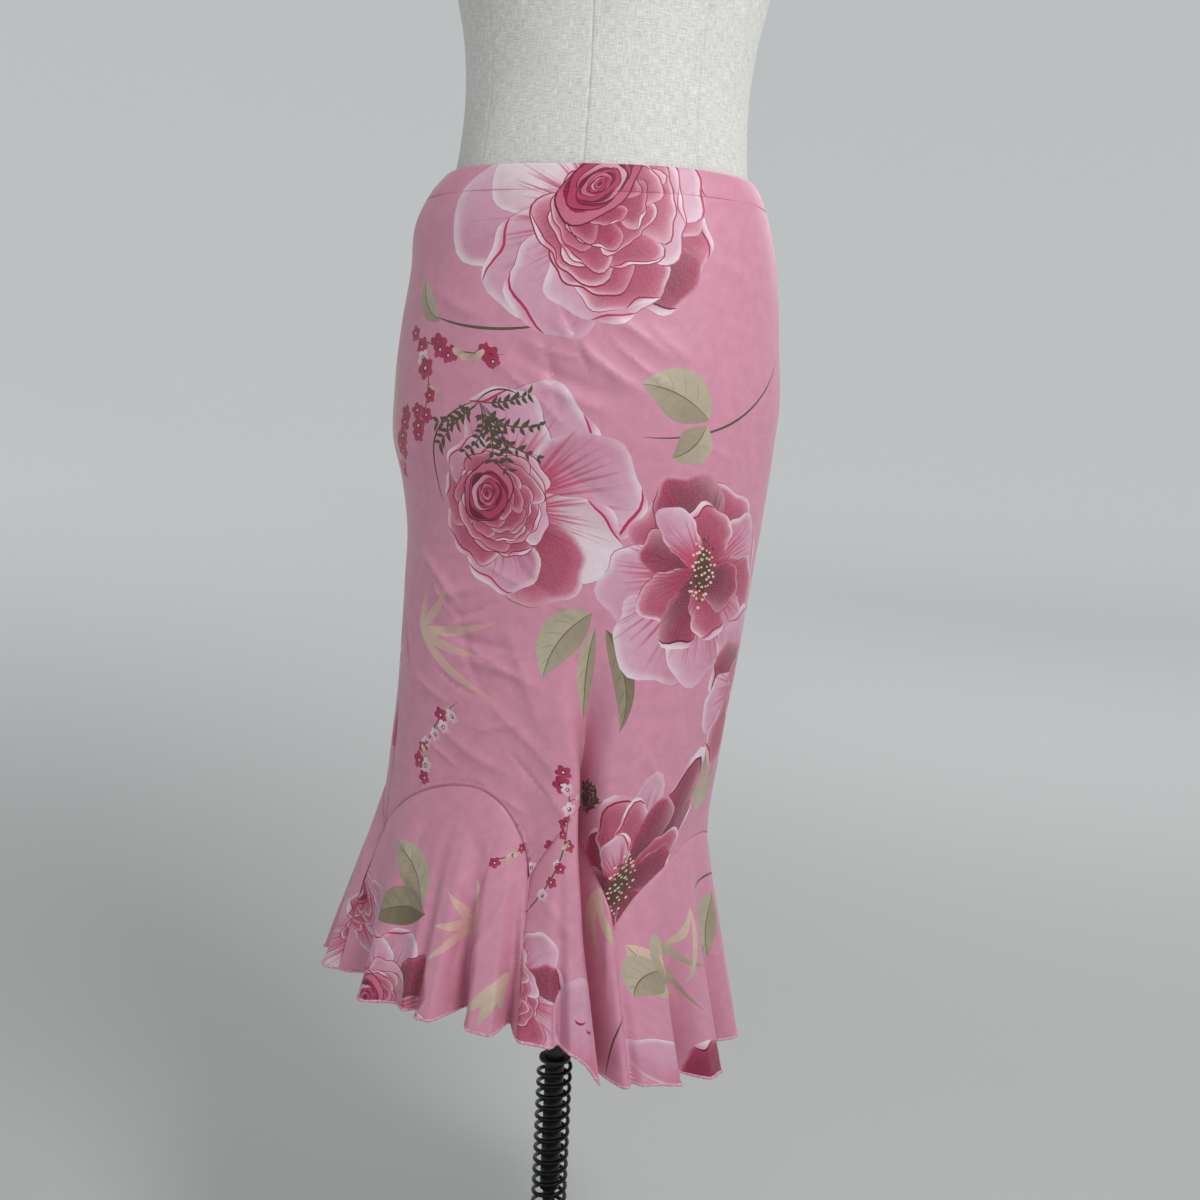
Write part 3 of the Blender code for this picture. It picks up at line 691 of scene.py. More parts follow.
def printedColour(tree, flat):
    # the mesh's corners hold a dye, the dye at the root of their petal and how far that one runs out;
    # the printer's brushwork between the two is drawn here
    dye = addNode(tree, "Attribute", attribute_name="dye")
    root = addNode(tree, "Attribute", attribute_name="rootDye")
    coords = addNode(tree, "UVMap", uv_map="petal")
    parts = addNode(tree, "SeparateXYZ", {0: coords.outputs[0]})
    # brush streaks that run out from a petal's root: many round the root, long along it
    wide = addNode(tree, "Math", {0: parts.outputs[0], 1: 26.0}, operation="MULTIPLY")
    streakAt = addNode(tree, "CombineXYZ", {0: wide.outputs[0], 1: parts.outputs[1]})
    streak = addNode(tree, "TexNoise", {"Vector": streakAt.outputs[0], "Scale": 1.0, "Detail": 2.0})
    uneven = addNode(tree, "MapRange", {
        "Value": streak.outputs[0], "From Min": 0.3, "From Max": 0.7, "To Min": 0.15, "To Max": 1.35})
    reach = addNode(tree, "Math", {0: root.outputs["Alpha"], 1: uneven.outputs[0]}, operation="MULTIPLY")
    short = addNode(tree, "Math", {0: reach.outputs[0], 1: 0.35}, operation="MULTIPLY")
    mask = addNode(tree, "MapRange", {
        "Value": parts.outputs[1], "From Min": reach.outputs[0], "From Max": short.outputs[0], "To Min": 0.0,
        "To Max": 0.92}, interpolation_type="SMOOTHSTEP")
    rooted = addNode(tree, "Mix", {
        "Factor": mask.outputs[0], "A": dye.outputs["Color"], "B": root.outputs["Color"]}, data_type="RGBA")
    # faint paler streaks over the whole petal, none on the ground
    wash = addNode(tree, "MapRange", {
        "Value": streak.outputs[0], "From Min": 0.35, "From Max": 0.75, "To Min": 0.0, "To Max": 0.09})
    washed = addNode(tree, "Math", {0: wash.outputs[0], 1: root.outputs["Alpha"]}, operation="MULTIPLY")
    streaked = addNode(tree, "Mix", {
        "Factor": washed.outputs[0], "A": rooted.outputs["Result"], "B": opaque("#ecd3dc")}, data_type="RGBA")
    # the printer's stipple: specks of 0.5 mm in the petals are too fine to show, so they are drawn at 1.25 mm
    speck = addNode(tree, "TexNoise", {"Vector": flat.outputs[0], "Scale": perMetre(1.25), "Detail": 3.0})
    fine = addNode(tree, "MapRange", {
        "Value": speck.outputs[0], "From Min": 0.46, "From Max": 0.74, "To Min": 0.0, "To Max": 0.14})
    specked = addNode(tree, "Math", {0: fine.outputs[0], 1: root.outputs["Alpha"]}, operation="MULTIPLY")
    stippled = addNode(tree, "Mix", {
        "Factor": specked.outputs[0], "A": streaked.outputs["Result"], "B": opaque("#f3e2ea")},
        data_type="RGBA")
    # dye taken up a little unevenly, in blots of about 11 mm
    blot = addNode(tree, "TexNoise", {
        "Vector": flat.outputs[0], "Scale": perMetre(11.1), "Detail": 5.0, "Roughness": 0.65})
    tone = addNode(tree, "MapRange", {
        "Value": blot.outputs[0], "From Min": 0.25, "From Max": 0.75, "To Min": 0.90, "To Max": 1.08})
    shade = addNode(tree, "Mix", {"Factor": 1.0, "A": stippled.outputs["Result"], "B": tone.outputs[0]},
                    data_type="RGBA", blend_type="MULTIPLY")
    return shade.outputs["Result"]


def reverseColour(tree, flat):
    # the dye strikes through to the reverse paler and patchily, in patches of 45 mm
    blot = addNode(tree, "TexNoise", {"Vector": flat.outputs[0], "Scale": perMetre(45.5), "Detail": 3.0})
    tone = addNode(tree, "MapRange", {"Value": blot.outputs[0], "From Min": 0.45, "From Max": 0.62})
    both = addNode(tree, "Mix", {
        "Factor": tone.outputs[0], "A": opaque("#d996ab"), "B": opaque("#e2b1bf")}, data_type="RGBA")
    return both.outputs["Result"]


def clothMaterial(name, rough, colour):
    # polyester crepe satin, woven, then printed: a soft broad sheen with no sharp highlight, which the
    # reverse, all crepe, has less of
    made, tree, shader = newMaterial(name, Roughness=rough, IOR=1.5, Sheen_Weight=0.25, Sheen_Roughness=0.4,
                                     Sheen_Tint=opaque("#f6dbe4"))
    flat = addNode(tree, "UVMap", uv_map="cloth")
    tree.links.new(colour(tree, flat), shader.inputs["Base Color"])
    # crosswise threads 0.3 mm apart are too fine to show, so they are drawn 0.8 mm apart and 2.9 mm long
    threads = addNode(tree, "Mapping", {
        "Vector": flat.outputs[0], "Scale": (perMetre(2.86), perMetre(0.8), 1.0)})
    thread = addNode(tree, "TexNoise", {"Vector": threads.outputs[0], "Scale": 1.0, "Detail": 2.0})
    bump = addNode(tree, "Bump", {"Height": thread.outputs[0], "Strength": 0.16, "Distance": 0.0004})
    tree.links.new(bump.outputs[0], shader.inputs["Normal"])
    return made


satinFace = clothMaterial("printedCrepeSatin", 0.46, printedColour)
satinBack = clothMaterial("crepeSatinReverse", 0.58, reverseColour)


def toEdge(angle, height, edge):
    # the way to an upper or lower edge in mm, square to its slope
    step = 0.4
    slope = (edge(angle + step) - edge(angle - step)) / (skirt["meanRadius"] * math.radians(2 * step))
    return np.abs(height - edge(angle)) * 1000 / np.sqrt(1 + np.minimum(slope**2, 9))


def edgeDistances(cut, angle, height, x):
    # how far a point is from each of its piece's edges, in mm
    left = cut["toFlat"](np.full_like(angle, cut["first"]), height)[..., 0]
    right = cut["toFlat"](np.full_like(angle, cut["last"]), height)[..., 0]
    return x - left, right - x, toEdge(angle, height, cut["topEdge"]), toEdge(angle, height, cut["lowEdge"])


def groove(distance, width):
    return np.exp(-(distance / width) ** 2)


def creaseRelief(rows, x, y):
    # soft ridges and troughs: ends, width and height, all in mm
    total = np.zeros_like(x)
    for x0, y0, x1, y1, width, rise, bow in rows:
        way = np.array([x1 - x0, y1 - y0], float)
        long = np.hypot(*way)
        way /= long
        along = ((x - x0) * way[0] + (y - y0) * way[1]) / long
        off = (x - x0) * -way[1] + (y - y0) * way[0] - bow * 4 * along * (1 - along)
        fade = np.sin(np.pi * np.clip(along, 0, 1)) ** 0.8
        total += sewing["creaseGain"] * rise * fade / np.cosh(np.clip(off / width, -20, 20))
    return total


def pieceOutline(cut):
    # the piece's edge as angles and heights on the cloth: along the top, down the right side and back
    first, last = cut["first"], cut["last"]
    across = np.linspace(first, last, int((last - first) / sewing["edgeTurn"]) + 1)

    def side(angle, start, end):
        a, b = cut[start](np.array(angle)), cut[end](np.array(angle))
        return np.linspace(a, b, max(3, int(abs(a - b) * 1000 / sewing["edgeDrop"])))

    right, left = side(last, "topEdge", "lowEdge"), side(first, "lowEdge", "topEdge")
    angles = np.concatenate([across, np.full(len(right) - 1, last), across[::-1][1:],
                             np.full(len(left) - 2, first)])
    heights = np.concatenate([cut["topEdge"](across), right[1:], cut["lowEdge"](across[::-1])[1:],
                              left[1:-1]])
    return angles, heights


def fillPoints(low, high, spacing):
    grid = np.meshgrid(np.arange(low[0], high[0], spacing), np.arange(low[1], high[1], spacing))
    return np.stack(grid, -1).reshape(-1, 2)


def cutMesh(points, outlines, winding, nearness):
    # triangles inside the first outline, all wound one way, with what each point and triangle came from
    vectors = [Vector(p) for p in points]
    spots, _, triangles, origins, _, inside = delaunay_2d_cdt(vectors, [], outlines, 0, nearness)
    flat = np.array([tuple(p) for p in spots])
    keep = [i for i, found in enumerate(inside) if 0 in found]
    kept = np.array([triangles[i] for i in keep])
    corners = flat[kept]
    area = np.cross(corners[:, 1] - corners[:, 0], corners[:, 2] - corners[:, 0])
    wrong = area * winding < 0
    kept[wrong] = kept[wrong][:, ::-1]
    used, kept = np.unique(kept, return_inverse=True)
    return flat[used], kept.reshape(-1, 3), [origins[i] for i in used], [inside[i] for i in keep]


def faceMesh(name, cut, outline, shapes, spacing):
    # the printed side: the print's outlines are edges of the mesh, and the topmost shape owns each triangle
    low, high = outline.min(0), outline.max(0)
    way = np.roll(outline, -1, 0) - np.roll(outline, 1, 0)
    inward = np.stack([-way[:, 1], way[:, 0]], -1) / np.linalg.norm(way, axis=1, keepdims=True)
    rng = np.random.default_rng(len(name) * 7 + int(cut["first"]) % 97)
    fill = fillPoints(low, high, spacing)
    uneven = sewing["unevenGrid"]
    fill = fill + rng.uniform(-uneven, uneven, fill.shape) * spacing
    points, outlines, owner = [outline], [list(range(len(outline)))], [0]
    count = len(outline)
    for k, shape in enumerate(shapes):
        for ring in shape["outlines"]:
            if (ring.max(0) < low).any() or (ring.min(0) > high).any():
                continue
            if np.cross(ring, np.roll(ring, -1, 0)).sum() < 0:
                ring = ring[::-1]
            points.append(ring)
            outlines.append(list(range(count, count + len(ring))))
            owner.append(k + 1)
            count += len(ring)
    points += [outline + inward * d for d in sewing["edgeRows"]] + [fill]
    # y runs down the piece, so that the outside faces out when the winding is reversed
    flat, face, origins, inside = cutMesh(np.concatenate(points), outlines, -1, 1e-4)
    top = np.array([max(owner[f] for f in found) for found in inside])
    onOutline = {new: source for new, sources in enumerate(origins) for source in sources
                 if source < len(outline)}
    return flat, face, top, onOutline


def reverseMesh(flat, face, low, high, spacing):
    # the reverse is coarser, on the same rim: its mesh, the rim's edges, and its point under each rim point
    edges = np.concatenate([face[:, [0, 1]], face[:, [1, 2]], face[:, [2, 0]]])
    _, where, uses = np.unique(np.sort(edges, axis=1), axis=0, return_index=True, return_counts=True)
    rim = edges[where[uses == 1]]  # each used by one triangle
    rimPoints = np.unique(rim)
    newIndex = {old: i for i, old in enumerate(rimPoints)}
    nextOf = {a: b for a, b in rim}
    loop = [rim[0][0]]
    while len(loop) < len(rim):
        loop.append(nextOf[loop[-1]])
    points = np.concatenate([flat[rimPoints], fillPoints(low, high, spacing * sewing["reverseCoarser"])])
    backFlat, back, origins, _ = cutMesh(points, [[newIndex[i] for i in loop[::-1]]], 1, 1e-5)
    twin = {rimPoints[source]: new for new, sources in enumerate(origins) for source in sources
            if source < len(rimPoints)}
    for lost in set(rimPoints) - set(twin):
        twin[lost] = int(np.argmin(((backFlat - flat[lost]) ** 2).sum(1)))
    return backFlat, back, rim, twin


def liftOff(cut, creases, spots, edge, onEdge):
    # flat points back on the skirt, raised by seams and creases, and which way the cloth faces there
    angle, height = cut["toCloth"](spots[:, 0], spots[:, 1])
    for new, old in onEdge.items():
        angle[new], height[new] = edge[0][old], edge[1][old]
    surface, turn, drop = cut["surface"], 0.05, 0.0004
    across = surface(angle + turn, height) - surface(angle - turn, height)
    down = surface(angle, height - drop) - surface(angle, height + drop)
    across /= np.linalg.norm(across, axis=1, keepdims=True)
    normal = np.cross(down, across)
    normal /= np.linalg.norm(normal, axis=1, keepdims=True)
    down = np.cross(across, normal)

    def relief(x, y):
        return cut["relief"](cut, *cut["toCloth"](x, y), x, y) + creaseRelief(creases, x, y)

    x, y = spots.T
    step = sewing["slopeStep"]
    slopeX = (relief(x + step, y) - relief(x - step, y)) / (2 * step)
    slopeY = (relief(x, y + step) - relief(x, y - step)) / (2 * step)
    facing = normal - across * slopeX[:, None] - down * slopeY[:, None]
    facing /= np.linalg.norm(facing, axis=1, keepdims=True)
    return surface(angle, height) + normal * relief(x, y)[:, None] / 1000, facing


def layDyes(mesh, shapes, top, corners):
    # each corner's dyes and its place in its petal, from the topmost shape over its triangle
    total = len(mesh.loops)
    dye, root, petalAt = np.ones((total, 4)), np.zeros((total, 4)), np.zeros((total, 2))
    dye[:, :3] = inks["ground"]
    topOf = np.repeat(top, 3)
    for k in np.unique(top[top > 0]):
        rows = np.where(topOf == k)[0]
        dye[rows, :3], root[rows, :3], root[rows, 3], petalAt[rows] = shapes[k - 1]["paint"](corners[rows])
    for label, values in (("dye", dye), ("rootDye", root)):
        layer = mesh.attributes.new(label, "FLOAT_COLOR", "CORNER")
        layer.data.foreach_set("color", values.astype(np.float32).ravel())
    return petalAt


def bakeLayout(cloth, outline, faceCorners, backCorners, rim, quads, flat):
    # face and reverse side by side in the unit square, and the rim's own faces just outside the face's edge
    laid = cloth.copy()
    start = faceCorners + backCorners
    for (a, b), quad in zip(rim, quads):
        out = np.array([flat[b][1] - flat[a][1], flat[a][0] - flat[b][0]])
        out *= sewing["rimBake"] / 1000 / max(np.hypot(*out), 1e-9)
        for k in range(len(quad)):
            if quad[k] >= len(flat):
                laid[start + k] = cloth[start + k] + out
        start += len(quad)
    margin, low = sewing["bakeMargin"] / 1000, outline.min(0) / 1000
    wide, long = outline.max(0) / 1000 - low + 2 * margin
    laid = (laid - low + margin) / max(2 * wide, long)
    laid[faceCorners:faceCorners + backCorners, 0] += 0.5
    return laid


def clothSheet(name, cut, shapes, creases, spacing, trims):
    # one cut piece of the skirt: its flat mesh is laid on the skirt's form, and made a shell
    edge = pieceOutline(cut)
    outline = cut["toFlat"](*edge)
    low, high = outline.min(0), outline.max(0)
    flat, face, top, onOutline = faceMesh(name, cut, outline, shapes, spacing)
    backFlat, back, rim, twin = reverseMesh(flat, face, low, high, spacing)
    faceAt, faceWay = liftOff(cut, creases, flat, edge, onOutline)
    backAt, backWay = liftOff(cut, creases, backFlat, edge,
                              {twin[new]: old for new, old in onOutline.items() if new in twin})
    backAt = backAt - backWay * sewing["thick"] / 1000
    shift = len(faceAt)
    quads = [(b, a, twin[a] + shift, twin[b] + shift) for a, b in rim]
    quads = [quad[:3] if quad[2] == quad[3] else quad for quad in quads]
    made = meshObject(name, np.concatenate([faceAt, backAt]), [*face, *(back + shift), *quads],
                      [satinFace, satinBack])
    mesh = made.data
    petalAt = layDyes(mesh, shapes, top, flat[face].reshape(-1, 2))
    cloth = (np.concatenate([flat, backFlat]) / 1000)[cornerPoints(mesh)]
    laid = bakeLayout(cloth, outline, face.size, back.size, rim, quads, flat)
    for label, values in (("cloth", cloth), ("petal", petalAt), ("OFBake", laid)):
        layUvs(mesh, label, values)
    finishOf = np.zeros(len(mesh.polygons), np.int32)
    finishOf[len(face):] = 1
    mesh.polygons.foreach_set("material_index", finishOf)
    mesh.normals_split_custom_set_from_vertices(np.concatenate([faceWay, -backWay]))
    settle(made, "form", "printed_satin", cut["node"])


def unevenness(x, y, size):
    # the slow waviness of cloth that has been worn and washed
    wave = np.sin(x / 17 + y / 41 + 1.3) * np.sin(y / 23 - x / 58) + 0.6 * np.sin(x / 9.5 - y / 31 + 0.4)
    return size * (wave + 0.5 * np.sin(x / 27 + y / 13 + 2.1))


# seams and edges, in mm: how far the cloth goes out there, how far from the edge, and half how wide
panelSeams = dict(
    sides=[(-0.8, 0.0, 1.1), (0.3, 6.0, 4.0)],  # the stitched groove, and the allowance's ridge beside it
    top=[(-0.5, 0.0, 0.9), (-0.28, 20.0, 1.5), (0.3, 10.0, 8.0)],  # turned edge, stitches, turning between
    low=[(0.55, 1.3, 0.8), (-0.5, 0.0, 0.5), (0.30, 6.0, 3.5)],  # the scalloped seam and its allowance
    uneven=0.22,
)
flounceSeams = dict(sides=[(-0.7, 0.0, 1.1)], top=[(-0.9, 0.0, 1.2)], low=[], uneven=0.20)


def seamRelief(seams, cut, angle, height, x):
    left, right, top, low = edgeDistances(cut, angle, height, x)
    total = 0
    for distance, edge in ((left, "sides"), (right, "sides"), (top, "top"), (low, "low")):
        for rise, at, wide in seams[edge]:
            total = total + rise * groove(distance - at, wide)
    return total


def bodyRelief(cut, angle, height, x, y):
    return seamRelief(panelSeams, cut, angle, height, x) + unevenness(x, y, panelSeams["uneven"])


def flounceRelief(cut, angle, height, x, y):
    return seamRelief(flounceSeams, cut, angle, height, x) + unevenness(y, x, flounceSeams["uneven"])


def cutPiece(surface, first, last, middle, node, topEdge, lowEdge, relief):
    spread = np.linspace(first, last, 60)
    cut = layFlat(surface, first, last, middle, float(lowEdge(spread).min()), float(topEdge(spread).max()))
    cut.update(node=node, topEdge=topEdge, lowEdge=lowEdge, relief=relief)
    cut["rests"] = "dressForm" if surface is bodyPoint else "frontPanel" if last < 100 else "backPanel"
    return cut


frontCut = cutPiece(bodyPoint, -88, 90, 0, "body_front", waistHeight, seamHeight, bodyRelief)
backCut = cutPiece(bodyPoint, 90, 272, 181, "body_back", waistHeight, seamHeight, bodyRelief)

greenery = random.Random(5)
frontPrint = [
    # olive stem, leaf and blossoms over the left hip
    *leaf((-108, 122), 236, 42, 17, greenery, ("leafLight", "leafMid"), bow=-0.16),
    stroke(bend((-112, 119), (-10, 124), 0.07, 14), 2.3, inks["olive"]),
    *blossomSpray(bend((-140, 132), (-46, 148), 0.05, 12), 3, size=9.5, count=13, spread=8.0, white=0.2),
    *blossomSpray(bend((-118, 150), (-128, 214), -0.08, 12), 4, size=9.0, count=8, spread=9.0, white=0.1),
    *blossomSpray(bend((-150, 190), (-158, 235), 0.1, 12), 6, size=9.0, count=7, spread=9.0, white=0.0),
    *leaf((-168, 150), 88, 88, 15, greenery, ("cream", "leafLight"), vein="leafMid"),
    # the large rose at the waist
    *rose((16, 22), 66, 11, turn=55, tilt=0.66, drop=0.42, skirts=[(182, 10, 122, 84, "outer"),
        (205, 6, 100, 60, "snow"), (150, 8, 104, 74, "outer"), (20, 16, 62, 60, "middle"),
        (-18, 14, 58, 52, "middle"), (128, 8, 92, 84, "outer"), (48, 18, 62, 58, "deep"),
        (100, 6, 70, 88, "outer"), (80, 16, 52, 70, "middle")]),
    # leaf pair on a thin stem, right
    stroke(bend((60, 205), (196, 136), 0.14, 18), 1.8, inks["olive"]),
    *leaf((114, 190), 204, 60, 40, greenery, ("leafLight", "leafMid"), bow=0.10),
    *leaf((112, 194), 140, 40, 30, greenery, ("leafMid", "leafLight"), bow=-0.12),
    # middle roses and their leaves
    *leaf((10, 340), 128, 66, 31, greenery, ("leafLight", "leafMid"), bow=0.10),
    *leaf((12, 352), 97, 76, 14, greenery, ("leafLight", "leafMid"), bow=0.05),
    *leaf((20, 352), 78, 82, 18, greenery, ("leafMid", "leafDark"), bow=-0.07),
    *rose((-68, 252), 47, 12, turn=30, tilt=0.82, drop=0.30, skirts=[(-48, 8, 96, 82, "outer"),
        (-80, 8, 78, 72, "outer"), (-12, 12, 104, 78, "outer"), (25, 12, 84, 66, "snow"),
        (60, 10, 76, 70, "middle"), (95, 8, 62, 58, "outer"), (140, 8, 50, 52, "middle"),
        (190, 6, 46, 50, "middle"), (235, 6, 48, 50, "outer")]),
    stroke(bend((-112, 262), (-66, 182), -0.25, 12), 1.6, inks["twig"]),
    stroke(bend((-70, 186), (-32, 178), -0.2, 8), 1.4, inks["twig"]),
    *leafyTwigs((-66, 184), 62, 7, aim=88, count=8),
    *openFlower((100, 306), 66, 13, turn=98, rows=[(-140, 4, 60, 56, "middle"), (165, 6, 82, 62, "outer"),
        (128, 6, 98, 66, "outer"), (-58, 6, 70, 58, "middle"), (-100, 6, 72, 60, "deep"),
        (-20, 6, 66, 54, "outer"), (20, 6, 62, 56, "middle"), (60, 6, 74, 54, "outer"),
        (98, 8, 84, 52, "outer"), (-75, 4, 50, 40, "middle"), (-160, 4, 50, 36, "deep"),
        (-122, 4, 52, 30, "outer"), (150, 4, 58, 34, "middle"), (118, 4, 66, 30, "deep"),
        (82, 4, 50, 34, "middle"), (30, 3, 38, 40, "deep")], eye=0.42, eyeTilt=0.42),
    *[blade((-146, 364), turn, long, 8, "cream", 0.06, "faint") for turn, long in ((-44, 54), (-9, 84),
        (13, 70), (33, 92), (-75, 34))],
    # the flower that the side hides half of
    *rose((182, 392), 38, 14, turn=120, skirts=[(-120, 8, 62, 52, "outer"), (-160, 8, 56, 50, "deep"),
        (160, 8, 60, 52, "outer"), (120, 8, 62, 50, "middle")]),
    # blossoms and blades near the scalloped seam
    *blossomSpray(bend((-106, 418), (-160, 492), 0.12, 14), 15, size=8.0, count=13, spread=9.0, white=0.3),
    *blossomSpray(bend((-30, 462), (-50, 545), -0.1, 14), 16, size=7.0, count=13, spread=6.0, white=0.4),
    *leafyTwigs((24, 500), 24, 17, aim=-70, count=3),
    *[blade((156, 505), turn, long, 8, "leafLight", 0.1, "leafMid") for turn, long in ((218, 54), (242, 66),
        (268, 50), (292, 42))],
    *openFlower((97, 552), 58, 18, turn=72, rows=[(-140, 4, 60, 30, "deep"), (-122, 4, 82, 32, "middle"),
        (-58, 4, 70, 30, "deep"), (-70, 4, 100, 30, "deep"), (-100, 4, 84, 30, "outer"),
        (-110, 4, 66, 26, "middle"), (-84, 4, 64, 26, "deep"), (-128, 4, 44, 22, "outer"),
        (-44, 4, 46, 30, "middle"), (60, 4, 44, 44, "deep"), (110, 4, 54, 46, "deep"),
        (160, 4, 46, 42, "deep"), (-20, 4, 40, 32, "deep")], eye=0.42, eyeTilt=0.5),
    *bambooSpray((-188, 330), 100, 80, 19, "mauve", "pink", 3),
]
backPrint = [
    *blossomSpray(bend((-60, 60), (10, 40), 0.1, 12), 41, size=9.0, count=12, spread=9.0, white=0.25),
    *rose((-104, 66), 58, 42, turn=100, tilt=0.74, skirts=[(0, 10, 84, 70, "outer"),
        (40, 10, 92, 74, "outer"), (80, 10, 78, 70, "middle"), (120, 8, 84, 72, "outer"),
        (165, 8, 80, 66, "snow"), (210, 8, 66, 60, "outer"), (-40, 8, 64, 60, "middle")]),
    *leaf((-30, 150), 35, 66, 36, greenery),
    *leaf((-34, 156), 85, 52, 26, greenery, ("leafMid", "leafDark")),
    stroke(bend((-80, 140), (96, 190), 0.08, 16), 1.8, inks["olive"]),
    *openFlower((92, 92), 62, 43, turn=80),
    *leafyTwigs((150, 170), 70, 44, aim=150, count=6),
    *rose((84, 262), 50, 45, turn=140, tilt=0.80, skirts=[(-150, 8, 92, 76, "outer"),
        (180, 10, 98, 80, "outer"), (140, 10, 86, 70, "snow"), (100, 8, 70, 66, "outer"),
        (50, 8, 60, 60, "middle"), (0, 8, 60, 60, "outer"), (-60, 8, 58, 58, "middle"),
        (-105, 8, 70, 64, "outer")]),
    *bambooSpray((-10, 330), 150, 70, 46, "cream", "faint", 5),
    *openFlower((-96, 296), 70, 47, turn=110),
    *leaf((-60, 360), 60, 70, 28, greenery),
    *leaf((-68, 364), 100, 72, 16, greenery, ("leafMid", "leafDark")),
    *blossomSpray(bend((-170, 380), (-120, 480), 0.15, 14), 48, size=6.5, count=14, spread=9.0, white=0.3),
    *rose((22, 448), 44, 49, turn=60, skirts=[(-20, 8, 78, 62, "outer"), (30, 8, 70, 60, "middle"),
        (75, 8, 74, 60, "outer"), (150, 8, 66, 60, "outer"), (-150, 8, 62, 56, "snow"),
        (-90, 8, 60, 56, "middle")]),
    *blossomSpray(bend((120, 380), (170, 470), -0.12, 14), 50, size=6.5, count=13, spread=9.0, white=0.3),
    *[blade((-60, 500), turn, long, 9, "leafLight", 0.1, "leafMid") for turn, long in ((200, 60), (225, 72),
        (250, 60), (160, 54))],
    *openFlower((160, 330), 40, 51, turn=60),
    *leaf((-150, 190), 120, 60, 30, greenery),
    *rose((206, 296), 26, 52, turn=90, skirts=[(95, 8, 88, 46, "outer"), (120, 8, 70, 44, "snow"),
        (70, 8, 96, 40, "outer"), (180, 6, 44, 40, "middle"), (-100, 6, 46, 36, "deep")]),
    *petal((210, 474), -92, 70, 44, "outer", greenery, reach=0.5),
]

